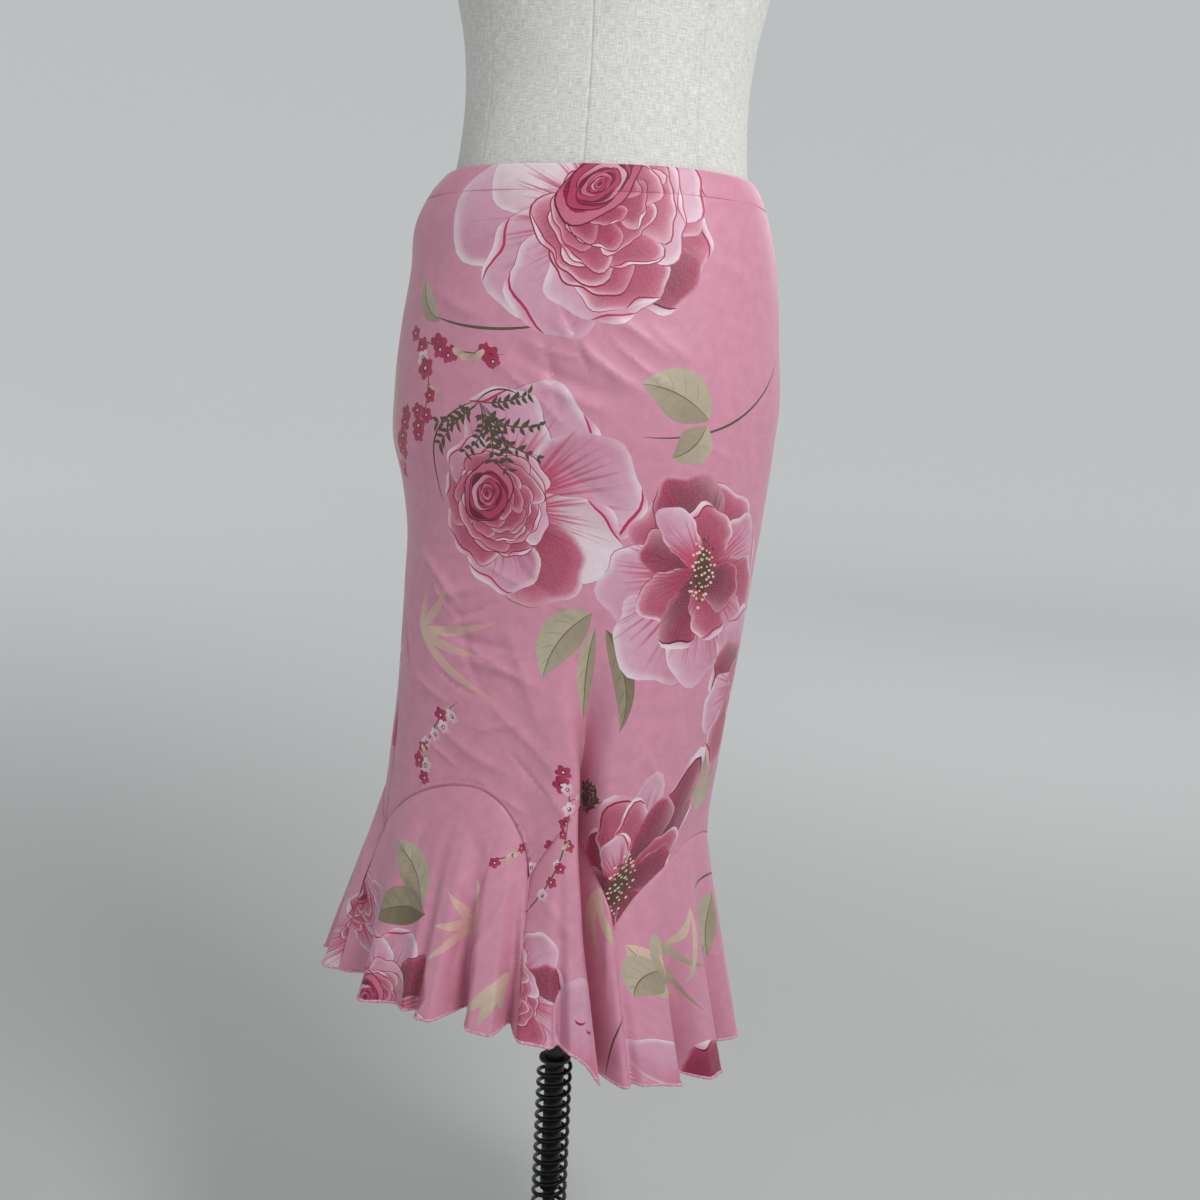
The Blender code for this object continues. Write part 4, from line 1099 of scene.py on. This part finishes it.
petalRng = random.Random(77)
flouncePrints = dict(
    FrontLeft=[
        *leaf((-30, 92), 226, 56, 30, greenery),
        *leaf((-26, 98), 166, 58, 30, greenery, ("leafMid", "leafDark")),
        *bambooSpray((30, 104), 202, 60, 61, "faint", "cream", 4),
        *rose((-82, 168), 34, 62, turn=20, skirts=[(-60, 6, 60, 40, "outer"), (-25, 6, 66, 42, "deep"),
            (10, 6, 70, 40, "outer"), (-100, 6, 46, 40, "outer")]),
        *[blade((84, 132), turn, 34, 13, "cream", 0.05, "leafLight") for turn in (50, 85, 118)],
        *blossomSpray(bend((28, 50), (50, 40), 0.1, 8), 63, size=5.5, count=4, spread=5.0, white=0.0),
        *rose((-134, 104), 30, 64, turn=90, skirts=[(0, 6, 40, 40, "outer"), (70, 6, 50, 42, "outer")]),
    ],
    FrontMiddle=[
        *rose((-78, 130), 28, 65, turn=0, skirts=[(-40, 6, 44, 34, "outer"), (0, 6, 40, 34, "deep"),
            (45, 6, 50, 36, "outer"), (80, 6, 40, 34, "middle")]),
        *blossomSpray(bend((-24, 6), (-64, 86), -0.12, 14), 66, size=5.5, count=12, spread=4.0, white=0.35),
        *petal((-8, 206), -92, 84, 50, "outer", petalRng, curl=0, reach=0.1),
        stroke(bend((-14, 150), (-4, 153), 0.2, 5), 1.8, inks["crimson"]),
        stroke(bend((-4, 158), (4, 162), 0.2, 5), 1.8, inks["crimson"]),
        *[blade((60, 62), turn, long, 7, "cream", 0.12, "leafLight") for turn, long in ((82, 60), (100, 48),
            (60, 56))],
        stroke(bend((94, 150), (84, 204), 0.06, 8), 1.8, inks["olive"]),
    ],
    FrontRight=[
        *leaf((-84, 118), -112, 52, 40, greenery, ("cream", "leafLight"), bow=0.05),
        *leaf((-82, 92), 160, 44, 30, greenery, ("leafLight", "leafMid")),
        *petal((-150, 186), -90, 50, 56, "outer", petalRng, curl=0, reach=0.2),
        *petal((-104, 196), -22, 70, 46, "deep", petalRng, curl=1, reach=0.3),
        *petal((-110, 204), -6, 66, 30, "middle", petalRng, curl=0),
        *[blade((-76, 64), turn, long, 7, "leafLight", 0.1, "leafMid") for turn, long in ((70, 74),
            (38, 60), (100, 50))],
        *[blade((-30, 52), turn, long, 7, "cream", -0.14, "leafLight") for turn, long in ((118, 66),
            (150, 50))],
        stroke(bend((-20, 44), (40, 46), -0.16, 9), 1.8, inks["olive"]),
        *leaf((14, 50), 100, 56, 30, greenery, ("leafLight", "leafMid")),
    ],
    BackRight=[
        *rose((-70, 120), 34, 71, skirts=[(20, 6, 60, 44, "outer"), (70, 6, 52, 44, "middle"),
            (150, 6, 54, 44, "outer"), (-60, 6, 50, 42, "outer")]),
        *leaf((10, 70), 70, 60, 28, greenery),
        *leaf((20, 72), 30, 56, 26, greenery, ("leafMid", "leafDark")),
        *petal((96, 190), -100, 64, 54, "deep", petalRng),
        *bambooSpray((60, 150), 200, 50, 72, "cream", "faint", 4),
    ],
    BackMiddle=[
        *openFlower((-20, 110), 44, 73, turn=100),
        *leaf((40, 100), 20, 60, 28, greenery),
        *blossomSpray(bend((-120, 90), (-80, 170), 0.1, 12), 74, size=5.5, count=9, spread=6.0),
        *petal((110, 196), -95, 60, 60, "outer", petalRng),
        *[blade((80, 60), turn, 60, 8, "cream", 0.1, "leafLight") for turn in (80, 110)],
    ],
    BackLeft=[
        *rose((148, 112), 33, 75, turn=90, skirts=[(180, 6, 50, 42, "outer"), (120, 6, 62, 46, "outer"),
            (80, 6, 66, 44, "snow"), (-150, 6, 44, 38, "middle")]),
        *leaf((20, 80), 60, 60, 28, greenery),
        *leaf((14, 86), 110, 56, 26, greenery, ("leafMid", "leafDark")),
        *rose((-100, 150), 30, 76, skirts=[(-60, 6, 50, 40, "outer"), (0, 6, 54, 40, "middle"),
            (200, 6, 50, 40, "outer")]),
        *blossomSpray(bend((60, 130), (90, 180), 0.1, 8), 77, size=5.5, count=6, spread=6.0),
    ],
)

# drag and press creases: two ends, width, rise and bow, in mm on the flat piece; a trough's rise is negative
frontCreases = [
    (-14, 116, 66, 176, 3.4, 1.5, 4), (-22, 124, -2, 196, 3.0, -0.9, -3), (20, 112, 84, 150, 3.0, 1.0, -3),
    (-46, 142, 50, 178, 4.2, -1.3, 5), (-30, 158, 40, 190, 3.0, 0.9, 3), (60, 120, 104, 150, 3.5, 0.8, 2),
    (-120, 96, -60, 120, 4.0, 0.9, 3), (90, 66, 150, 86, 4.5, 0.8, -2), (-150, 300, -92, 352, 3.2, 1.3, -4),
    (-136, 336, -60, 318, 2.8, 1.0, 4), (-146, 352, -44, 372, 3.0, -1.0, 6),
    (-108, 384, -30, 402, 3.0, 1.2, -5), (-160, 396, -112, 420, 2.6, 0.9, 3),
    (-100, 330, -76, 420, 3.2, -0.9, 6), (-60, 352, -40, 440, 3.6, 1.0, -5),
    (-140, 430, -70, 470, 3.4, 1.0, 5), (-84, 410, -30, 476, 3.4, 1.1, -4),
    (-52, 300, -10, 336, 3.2, -0.8, 3), (-20, 380, -14, 500, 5.0, 1.0, 3), (50, 420, 60, 500, 5.0, 0.9, -3),
    (84, 390, 112, 452, 4.5, -0.8, 4), (120, 240, 160, 300, 4.5, 0.8, 4), (40, 372, 30, 440, 4.5, 1.2, 2),
    (-10, 226, 44, 262, 4.0, -0.7, 3), (-8, 106, 22, 168, 1.8, -0.7, -2), (-36, 136, 18, 150, 1.8, 0.7, 2),
    (28, 128, 92, 172, 2.0, 0.6, 3), (-60, 150, 6, 204, 1.9, 0.7, -3), (-132, 318, -104, 352, 1.6, 0.7, 2),
    (-104, 352, -62, 334, 1.5, -0.7, 2), (-124, 366, -74, 350, 1.7, 0.8, -2),
    (-92, 372, -48, 392, 1.6, 0.7, 2), (-128, 392, -84, 412, 1.7, -0.7, 3),
    (-66, 388, -30, 372, 1.6, 0.6, -2), (-118, 428, -86, 404, 1.6, 0.7, 2),
    (-96, 440, -52, 430, 1.7, 0.7, -2), (-72, 448, -44, 486, 1.8, -0.7, 2),
    (-30, 330, 4, 350, 1.8, 0.5, -2), (-150, 446, -116, 470, 1.7, 0.7, 2), (66, 448, 98, 478, 1.8, 0.6, 2),
    (96, 206, 140, 222, 2.0, 0.5, -2), (-76, 306, -40, 322, 1.6, 0.6, 2),
    (-52, 470, -24, 520, 2.0, 0.7, -2), (-104, 474, -60, 500, 1.8, 0.6, 2),
]
backCreases = [
    (-70, 110, 20, 160, 3.6, 1.4, 4), (-40, 96, 36, 128, 3.2, 0.9, -3), (20, 130, 96, 104, 3.6, -1.1, 4),
    (-90, 168, 0, 196, 4.0, 1.0, 5), (40, 170, 120, 206, 3.6, 1.1, -4), (-130, 250, -70, 300, 3.4, 1.1, 4),
    (60, 300, 130, 336, 3.2, -0.9, -4), (80, 350, 150, 400, 3.0, 1.2, 5),
    (100, 330, 120, 430, 3.4, -0.8, 5), (-150, 330, -90, 372, 3.2, 1.0, 3),
    (-60, 380, 0, 420, 3.2, 1.1, -4), (-20, 400, -10, 500, 5.0, 1.0, 3), (30, 420, 44, 510, 4.6, -0.9, 4),
    (-110, 410, -60, 470, 3.4, 1.0, -4), (130, 420, 160, 500, 4.2, 0.9, 3), (-44, 118, 0, 134, 1.8, 0.7, 2),
    (-10, 150, 34, 132, 1.8, -0.7, 2), (60, 340, 104, 362, 1.7, 0.7, -2), (92, 376, 130, 358, 1.6, 0.7, 2),
    (70, 396, 112, 420, 1.7, -0.7, 2), (104, 430, 140, 412, 1.7, 0.7, 2),
    (-130, 346, -96, 364, 1.6, 0.7, 2), (-86, 396, -50, 384, 1.6, 0.6, -2),
    (-40, 420, -16, 460, 1.8, 0.6, 2),
]
flounceCreases = dict(
    FrontLeft=[(-70, 60, -20, 90, 3.0, 0.7, 3), (-6, 60, 40, 110, 3.2, 0.7, -3),
        (-10, 14, 26, 60, 3.0, -0.5, 2), (-36, 20, -60, 130, 2.4, -0.7, 3),
        (24, 24, 10, 150, 2.2, -0.9, -3), (50, 60, 40, 160, 2.4, 0.8, 2)],
    FrontMiddle=[(-44, 60, -10, 96, 3.0, 0.7, 3), (-30, 110, 0, 150, 3.0, 0.6, -2),
        (-60, 30, -84, 140, 2.4, -0.8, 3), (66, 40, 74, 150, 2.6, 0.8, -2)],
    FrontRight=[(-110, 96, -70, 120, 2.6, 0.6, 2), (-20, 70, 20, 110, 3.0, 0.7, 3),
        (-60, 30, -70, 130, 2.4, -0.8, 2)],
    BackRight=[(-60, 70, -10, 100, 3.0, 0.7, 3), (30, 90, 80, 130, 3.0, 0.6, -3),
        (0, 20, -10, 120, 2.4, -0.8, 2)],
    BackMiddle=[(-80, 90, -30, 120, 3.0, 0.7, 3), (10, 60, 60, 100, 3.2, 0.7, -3),
        (40, 20, 54, 130, 2.4, -0.8, 2)],
    BackLeft=[(-50, 80, 0, 120, 3.0, 0.7, -3), (60, 60, 110, 100, 3.0, 0.6, 3),
        (20, 20, 10, 130, 2.4, -0.8, 2)],
)

# spun polyester sewing thread, a shade deeper than the cloth and matt
threadFinish, _, _ = newMaterial("pinkThread", Roughness=0.6, Base_Color=opaque("#d3688c"))
# the hem's edge, rolled and overcast: paler where the satin's reverse turns over, in patches of 1.5 mm
edgeFinish, tree, shader = newMaterial("rolledSatinEdge", Roughness=0.5)
place = addNode(tree, "TexCoord")
blot = addNode(tree, "TexNoise", {"Vector": place.outputs["Object"], "Scale": perMetre(1.5), "Detail": 3.0})
tone = addNode(tree, "MapRange", {"Value": blot.outputs[0], "From Min": 0.4, "From Max": 0.65})
edgeTone = addNode(tree, "Mix", {"Factor": tone.outputs[0], "A": opaque("#d98aa6"), "B": opaque("#f3c6d4")},
                   data_type="RGBA")
tree.links.new(edgeTone.outputs["Result"], shader.inputs["Base Color"])


def sweep(name, line, radius, finish, sides=6):
    # a tube along a line of points; radius may differ from point to point
    line = np.asarray(line, float)
    count = len(line)
    way = np.gradient(line, axis=0)
    way /= np.linalg.norm(way, axis=1, keepdims=True)
    side = np.cross(way, (0, 0, 1.0))
    side /= np.linalg.norm(side, axis=1, keepdims=True)
    over = np.cross(side, way)
    turn = roundTurns(sides)
    radius = np.broadcast_to(radius, (count,))[:, None, None]
    ring = side[:, None] * np.cos(turn)[None, :, None] + over[:, None] * np.sin(turn)[None, :, None]
    points = (line[:, None] + radius * ring).reshape(-1, 3)
    ends = [tuple(range(sides))[::-1], tuple(range((count - 1) * sides, count * sides))]
    return meshObject(name, points, gridFaces(count, sides) + ends, [finish])


rolled = dict(radius=0.00115, uneven=0.12, above=0.0006, step=0.16)  # metres; step in degrees


def rolledHem(name, first, last):
    angles = np.arange(first + 0.1, last - 0.05, rolled["step"])
    line = flouncePoint(angles, hemHeight(angles) + rolled["above"])
    rng = np.random.default_rng(int(first) + 500)
    lumps = np.convolve(rng.standard_normal(len(line) + 8), np.ones(9) / 3, "valid")
    made = sweep(name, line, rolled["radius"] * (1 + rolled["uneven"] * lumps), edgeFinish)
    settle(made, "form", "printed_satin")
    return made


# metres below the edge, mm along the line, metres, and mm out at each of a stitch's four rings
stitches = dict(down=0.020, length=1.9, pitch=2.6, radius=0.00024, lift=[-0.25, 0.08, 0.08, -0.25])


def waistStitches(name, cut):
    # short stitches round the waist, 20 mm below the upper edge, as one mesh; each dips in at its ends
    angles = np.linspace(cut["first"] + 0.6, cut["last"] - 0.6, 900)
    line = cut["surface"](angles, cut["topEdge"](angles) - stitches["down"])
    run = np.concatenate([[0], np.cumsum(np.linalg.norm(np.diff(line, axis=0), axis=1))]) * 1000
    out = np.stack([line[:, 0], line[:, 1], 0 * angles], -1)
    out /= np.linalg.norm(out, axis=1, keepdims=True)
    points, faces, upright = [], [], np.array([0, 0, 1])
    for start in np.arange(1, run[-1] - 3, stitches["pitch"]):
        spots = start + np.array([0, 0.25, 0.75, 1]) * stitches["length"]
        core = np.stack([np.interp(spots, run, line[:, k]) for k in range(3)], -1)
        outward = np.stack([np.interp(spots, run, out[:, k]) for k in range(3)], -1)
        core = core + outward * (np.array(stitches["lift"]) / 1000)[:, None]
        base = len(points)
        for spot, up in zip(core, outward):
            for turn in roundTurns(4):
                points.append(spot + stitches["radius"] * (up * np.cos(turn) + upright * np.sin(turn)))
        ends = [(3, 2, 1, 0), (12, 13, 14, 15)]
        faces += [tuple(base + i for i in face) for face in gridFaces(4, 4) + ends]
    made = meshObject(name, points, faces, [threadFinish])
    settle(made, "form", "printed_satin")
    return made


clothSheet("frontPanel", frontCut, frontPrint, frontCreases, sewing["frontSpacing"],
           [waistStitches("frontWaistStitches", frontCut)])
clothSheet("backPanel", backCut, backPrint, backCreases, sewing["backSpacing"],
           [waistStitches("backWaistStitches", backCut)])
print("panels done")

flounceRows = [("FrontLeft", "front_left"), ("FrontMiddle", "front_middle"), ("FrontRight", "front_right"),
               ("BackRight", "back_right"), ("BackMiddle", "back_middle"), ("BackLeft", "back_left")]
for i, (title, node) in enumerate(flounceRows):
    first, last = arches["start"][i], arches["start"][i + 1]
    middle = first + (last - first) * arches["topAt"][i]
    cut = cutPiece(flouncePoint, first, last, middle, "flounce_" + node, seamHeight, hemHeight, flounceRelief)
    clothSheet("flounce" + title, cut, flouncePrints[title], flounceCreases[title], sewing["flounceSpacing"],
               [rolledHem("hem" + title, first, last)])
print("flounces done")

# the dress form, foam under a linen cover, in metres
form = dict(
    height=[0.822, 0.830, 0.865, 0.915, 0.960, 1.000, 1.040, 1.070, 1.100, 1.140, 1.180, 1.220, 1.245, 1.268,
            1.290, 1.315, 1.348, 1.385, 1.420, 1.442, 1.458, 1.474, 1.490, 1.508, 1.530, 1.550],
    halfWidth=[0.1490, 0.1530, 0.1555, 0.1510, 0.1430, 0.1320, 0.1190, 0.1155, 0.1145, 0.1175, 0.1255, 0.1345,
               0.1390, 0.1415, 0.1425, 0.1435, 0.1465, 0.1570, 0.1690, 0.1640, 0.1370, 0.1010, 0.0730, 0.0590,
               0.0545, 0.0535],
    halfDepth=[0.1075, 0.1115, 0.1140, 0.1115, 0.1055, 0.0990, 0.0935, 0.0905, 0.0895, 0.0935, 0.1000, 0.1090,
               0.1143, 0.1162, 0.1145, 0.1090, 0.0985, 0.0860, 0.0750, 0.0660, 0.0600, 0.0565, 0.0545, 0.0525,
               0.0505, 0.0495],
    centreX=[0.0, 0.0, 0.0, 0.0005, 0.0015, 0.0030, 0.0052, 0.0062, 0.0070, 0.0078, 0.0082] + [0.0085] * 15,
    centreY=[0.008, 0.008, 0.008, 0.008, 0.006, 0.003, 0.001, 0.0, -0.001, -0.002, -0.004, -0.008, -0.010,
             -0.010, -0.009, -0.006, -0.001, 0.005, 0.009, 0.012, 0.014, 0.015, 0.014, 0.011, 0.008, 0.006],
)
formShape = dict(
    roundness=2.15, armPlane=0.1468, armTilt=0.16, shoulder=1.40, neck=1.46, uvRadius=0.125, rows=150,
    inset=0.0003, grooveDepth=0.55, grooveWidth=0.7, ridgeHeight=0.25, ridgeAt=4.0, ridgeWidth=3.5, soil=0.16,
    columnStep=2.5, seamColumns=[0, 0.35, 0.7, 1.1, 1.6, 2.2],  # degrees
    # the cover's seams: where each lies round the form, in degrees, and how strongly it shows
    seams={0: 1.0, 50: 0.55, -50: 0.35, 90: 0.8, -90: 0.8, 130: 0.55, -130: 0.55, 180: 1.0},
)

# linen cover, plain weave: off-white, matt, with thick and thin threads both ways that catch the light
linen, tree, shader = newMaterial("slubLinen", Roughness=0.86, Sheen_Weight=0.15)
flat = addNode(tree, "UVMap", uv_map="cloth")
threads = []
# threads 0.5 mm apart are too fine to show, so they are drawn 0.87 mm apart; a slub is 8.3 mm long
thin, long = perMetre(0.87), perMetre(8.3)
for scale in ((long, thin, 1.0), (thin, long, 1.0)):
    lined = addNode(tree, "Mapping", {"Vector": flat.outputs[0], "Scale": scale})
    threads.append(addNode(tree, "TexNoise", {"Vector": lined.outputs[0], "Scale": 1.0, "Detail": 2.0}))
both = addNode(tree, "Math", {0: threads[0].outputs[0], 1: threads[1].outputs[0]}, operation="ADD")
tone = addNode(tree, "MapRange", {"Value": both.outputs[0], "From Min": 0.7, "From Max": 1.3})
cover = addNode(tree, "Mix", {"Factor": tone.outputs[0], "A": opaque("#cbc9c3"), "B": opaque("#f6f5f1")},
                data_type="RGBA")
# it has darkened a little, in patches of 70 mm; and shade is painted into the seams, darker along each seam's
# groove
blot = addNode(tree, "TexNoise", {"Vector": flat.outputs[0], "Scale": perMetre(71.5), "Detail": 3.0})
shade = addNode(tree, "MapRange", {
    "Value": blot.outputs[0], "From Min": 0.3, "From Max": 0.7, "To Min": 0.95, "To Max": 1.03})
seamShade = addNode(tree, "Attribute", attribute_name="seamShade")
# the patches' real darkening, times the painted shade in the seams
patchesAndSeamShade = addNode(tree, "Math", {0: shade.outputs[0], 1: seamShade.outputs["Fac"]}, operation="MULTIPLY")
covered = addNode(tree, "Mix", {"Factor": 1.0, "A": cover.outputs["Result"], "B": patchesAndSeamShade.outputs[0]},
                  data_type="RGBA", blend_type="MULTIPLY")
tree.links.new(covered.outputs["Result"], shader.inputs["Base Color"])
bump = addNode(tree, "Bump", {"Height": both.outputs[0], "Strength": 0.4, "Distance": 0.0006})
tree.links.new(bump.outputs[0], shader.inputs["Normal"])


def dressForm():
    # columns crowd in at the cover's seams, so that their grooves are sharp
    columns = set(np.round(np.arange(-180, 180, formShape["columnStep"]), 2))
    for seam in formShape["seams"]:
        columns |= {round(float(seam + way * off), 2) for off in formShape["seamColumns"] for way in (-1, 1)}
    turns = np.radians(sorted((c + 180) % 360 - 180 for c in columns))
    turns = turns[np.concatenate([[True], np.diff(turns) > 1e-4])]
    low, high = form["height"][0], form["height"][-1]
    heights = np.concatenate([[low], np.linspace(low + 0.0015, high - 0.003, formShape["rows"]),
                              [high - 0.001, high]])
    where, level = np.meshgrid(turns, heights)
    width, depth = curveThrough(form, "halfWidth", level), curveThrough(form, "halfDepth", level)
    out = oval(where, width, depth, formShape["roundness"])
    dip, dark = 0 * where, 0 * where
    for seam, strength in formShape["seams"].items():
        gap = np.abs((where - math.radians(seam) + np.pi) % (2 * np.pi) - np.pi) * out * 1000
        line = strength * groove(gap, formShape["grooveWidth"])
        ridge = strength * groove(gap - formShape["ridgeAt"], formShape["ridgeWidth"])
        dip = dip - formShape["grooveDepth"] * line + formShape["ridgeHeight"] * ridge
        # painted shade: the cover is darkened along each seam's groove, as strongly as that seam shows
        dark = dark + formShape["soil"] * line
    out = out + dip / 1000 - formShape["inset"]
    # the edges of the two flat ends are a little rounded
    shrink = np.where(level > high - 0.0005, 0.985, 1.0) * np.where(level < low + 0.0005, 0.985, 1.0)
    x = curveThrough(form, "centreX", level) + out * shrink * np.sin(where)
    y = curveThrough(form, "centreY", level) - out * shrink * np.cos(where)
    # the arm faces are flat and lean in towards the shoulders
    limit = formShape["armPlane"] - formShape["armTilt"] * (level - formShape["shoulder"])
    centre = form["centreX"][-1]
    x = np.clip(x, centre - limit, centre + limit)
    points = np.stack([x, y, level], -1).reshape(-1, 3)
    rows, count = where.shape
    ends = [tuple(range(count))[::-1], tuple(range((rows - 1) * count, rows * count))]
    made = meshObject("dressForm", points, gridFaces(rows, count) + ends, [linen])
    mesh = made.data
    shadeValue = (1 - dark * (level < formShape["neck"])).reshape(-1)
    mesh.attributes.new("seamShade", "FLOAT", "POINT").data.foreach_set("value", shadeValue)
    corners = cornerPoints(mesh)
    radius = formShape["uvRadius"]
    around = (where * radius).reshape(-1)[corners]
    # across the last column the run goes on round instead of back to its start
    starts = np.zeros(len(mesh.polygons), np.int32)
    mesh.polygons.foreach_get("loop_start", starts)
    wrap = starts[(count - 1):(rows - 1) * count:count]
    lastFace = np.zeros(len(mesh.loops), bool)
    for k in range(4):
        lastFace[wrap + k] = True
    around = around + np.where(lastFace & (corners % count == 0), 2 * np.pi * radius, 0)
    laid = np.stack([around, level.reshape(-1)[corners]], -1)
    laid[-2 * count:] = points[corners[-2 * count:], :2]  # the two flat ends
    layUvs(mesh, "cloth", laid)
    settle(made, "form", "linen", "dress_form")


dressForm()
print("form done")

# the stand: black enamelled steel, and the spring that carries the form, in metres
stand = dict(
    baseRadius=0.210, baseHeight=0.014, baseEdge=0.005, rodRadius=0.0055, rodFoot=0.0603, rodTop=0.620,
    poleRadius=0.0085, poleBore=0.0066, poleFoot=0.172, poleTop=0.8217,
    springRadius=0.0140, wire=0.0018, pitch=0.0100, springFoot=0.0622, springTop=0.2900, springMin=0.561,
    collarRadius=0.0138, collarBore=0.0087, collarFoot=0.2903, collarTop=0.2933,
    socketRadius=0.0145, socketBore=0.0092, socketFoot=0.778,
    # the hub's outline from its foot up: a flange, a swept neck and a rounded top, as radius and height
    hub=[(0.0002, 0.0143), (0.0335, 0.0143), (0.0340, 0.0148), (0.0340, 0.0195), (0.0332, 0.0203),
         (0.0270, 0.0240), (0.0222, 0.0275), (0.0198, 0.0330), (0.0185, 0.0420), (0.0180, 0.0560),
         (0.0176, 0.0590), (0.0165, 0.0600), (0.0002, 0.0600)],
)


def enamel(name, hexColour, wear, rough, metallic=0.0):
    # near black with a broad dull highlight, paler in dusty patches of 6 mm, and with faint orange peel
    made, tree, shader = newMaterial(name, Roughness=rough, Metallic=metallic)
    place = addNode(tree, "TexCoord")
    dust = addNode(tree, "TexNoise", {
        "Vector": place.outputs["Object"], "Scale": perMetre(6.25), "Detail": 4.0})
    tone = addNode(tree, "MapRange", {"Value": dust.outputs[0], "From Min": 0.45, "From Max": 0.75})
    colour = addNode(tree, "Mix", {"Factor": tone.outputs[0], "A": opaque(hexColour), "B": opaque(wear)},
                     data_type="RGBA")
    tree.links.new(colour.outputs["Result"], shader.inputs["Base Color"])
    # the peel's waves are about 1 mm long
    peel = addNode(tree, "TexNoise", {
        "Vector": place.outputs["Object"], "Scale": perMetre(1.11), "Detail": 1.0})
    bump = addNode(tree, "Bump", {"Height": peel.outputs[0], "Strength": 0.10, "Distance": 0.0003})
    tree.links.new(bump.outputs[0], shader.inputs["Normal"])
    return made


# sprayed and stoved enamel on steel tube and plate; the spring's wire is drawn and oiled, so it shines more
blackEnamel = enamel("blackStoveEnamel", "#141416", "#1f1f20", 0.36)
springEnamel = enamel("blackOiledSpringSteel", "#161617", "#26272a", 0.30, metallic=0.4)


def lathe(name, profile, body, node, sides=64):
    # turns a closed outline of (radius, height) points about the pole
    profile = np.array(profile, float)
    turn = roundTurns(sides)
    points = np.stack([profile[:, :1] * np.cos(turn), profile[:, :1] * np.sin(turn),
                       profile[:, 1:] + 0 * turn], -1).reshape(-1, 3)
    made = meshObject(name, points, gridFaces(len(profile), sides, closed=True), [blackEnamel])
    made.data.set_sharp_from_angle(angle=math.radians(32))
    settle(made, body, "black_enamel", node)


def rounded(radius, foot, top, edge, inner=0.0002):
    # a ring's or rod's closed outline with its outer edges rounded
    arc = [(edge * (1 - math.cos(a)), edge * (1 - math.sin(a))) for a in np.linspace(0, np.pi / 2, 6)]
    lower = [(radius - inward, foot + up) for up, inward in arc]
    upper = [(radius - inward, top - down) for inward, down in arc]
    return [(inner, foot)] + lower + upper + [(inner, top)]


lathe("basePlate", rounded(stand["baseRadius"], 0, stand["baseHeight"], stand["baseEdge"]),
      "stand", "base_plate", sides=160)
lathe("baseHub", stand["hub"], "stand", "base_hub", sides=96)
lathe("guideRod", rounded(stand["rodRadius"], stand["rodFoot"], stand["rodTop"], 0.001),
      "stand", "guide_rod", sides=48)
poleEnds = stand["poleFoot"], stand["poleTop"]
lathe("poleTube", rounded(stand["poleRadius"], *poleEnds, 0.0006, stand["poleBore"]), "riser", "pole_tube")
collarEnds = stand["collarFoot"], stand["collarTop"]
lathe("springCollar", rounded(stand["collarRadius"], *collarEnds, 0.0006, stand["collarBore"]),
      "riser", "spring_collar")
socketEnds = stand["socketFoot"], stand["poleTop"]
lathe("poleSocket", rounded(stand["socketRadius"], *socketEnds, 0.0008, stand["socketBore"]),
      "form", "pole_socket")


def coilSpring():
    radius, foot, pitch = stand["springRadius"], stand["springFoot"], stand["pitch"]
    inset = 0.0016  # the end turns' middle lies this far inside the spring's ends
    turns = (stand["springTop"] - foot - 2 * inset) / pitch
    along = np.arange(0, turns, 1 / 28)
    helix = np.stack([radius * np.cos(2 * np.pi * along), radius * np.sin(2 * np.pi * along),
                      foot + inset + pitch * along], -1)
    coil = sweep("coilSpring", helix, stand["wire"], springEnamel, sides=10)
    settle(coil, "stand", "spring_steel", "coil_spring")
    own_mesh(coil)


coilSpring()
print("stand done")

# a pale floor that rises gently far away like a shallow bowl, so that no edge shows behind the form
backdrop = dict(flat=2.0, rise=0.06, rings=[2.0, 2.5, 3.0, 3.5, 4.0, 4.5] + list(range(5, 15)), sides=96,
                colour="#d5d7d6", glow="#e9ecee", glowFrom=0.7, glowTo=5.5, glowStrength=0.38)


def studioFloor():
    # matt paper with painted light: it glows, faintly near the form and more strongly farther out, so it is
    # brightest where it rises
    finish, tree, shader = newMaterial("paleFloor", Roughness=0.8, Base_Color=opaque(backdrop["colour"]),
                                       Emission_Color=opaque(backdrop["glow"]))
    place = addNode(tree, "TexCoord")
    away = addNode(tree, "VectorMath", {0: place.outputs["Object"]}, operation="LENGTH")
    # painted light: the floor's glow grows with the distance from the middle
    glow = addNode(tree, "MapRange", {
        "Value": away.outputs["Value"], "From Min": backdrop["glowFrom"], "From Max": backdrop["glowTo"],
        "To Min": 0.0, "To Max": backdrop["glowStrength"]}, interpolation_type="SMOOTHSTEP")
    tree.links.new(glow.outputs[0], shader.inputs["Emission Strength"])
    sides = backdrop["sides"]
    points = [(r * math.cos(turn), r * math.sin(turn), backdrop["rise"] * (r - backdrop["flat"]) ** 2)
              for r in backdrop["rings"] for turn in roundTurns(sides)]
    rising = [face[::-1] for face in gridFaces(len(backdrop["rings"]), sides)]
    meshObject("floor", points, [tuple(range(sides))] + rising, [finish])


studioFloor()

world = bpy.data.worlds.new("softRoom")
world.use_nodes = True
world.node_tree.nodes["Background"].inputs[0].default_value = opaque("#e6e8e9")
world.node_tree.nodes["Background"].inputs[1].default_value = 0.25
bpy.context.scene.world = world
bpy.context.scene.view_settings.view_transform = "Standard"


def softbox(name, at, aim, size, power):
    made = bpy.data.objects.new(name, bpy.data.lights.new(name, "AREA"))
    made.data.shape = "SQUARE"
    made.data.size = size
    made.data.energy = power
    made.location = at
    made.rotation_euler = (Vector(aim) - Vector(at)).to_track_quat("-Z", "Y").to_euler()
    bpy.context.scene.collection.objects.link(made)


# the key light is high on the right, as in the photo; sizes in metres, power in watts
softbox("keyLight", (0.95, -1.05, 1.95), (0, 0, 0.9), size=0.55, power=17)
softbox("fillLight", (-2.2, -1.8, 1.9), (0, 0, 1.0), size=2.0, power=3)
softbox("backLight", (0.8, 2.6, 2.6), (0, 0, 0.8), size=2.4, power=30)
print("light done")
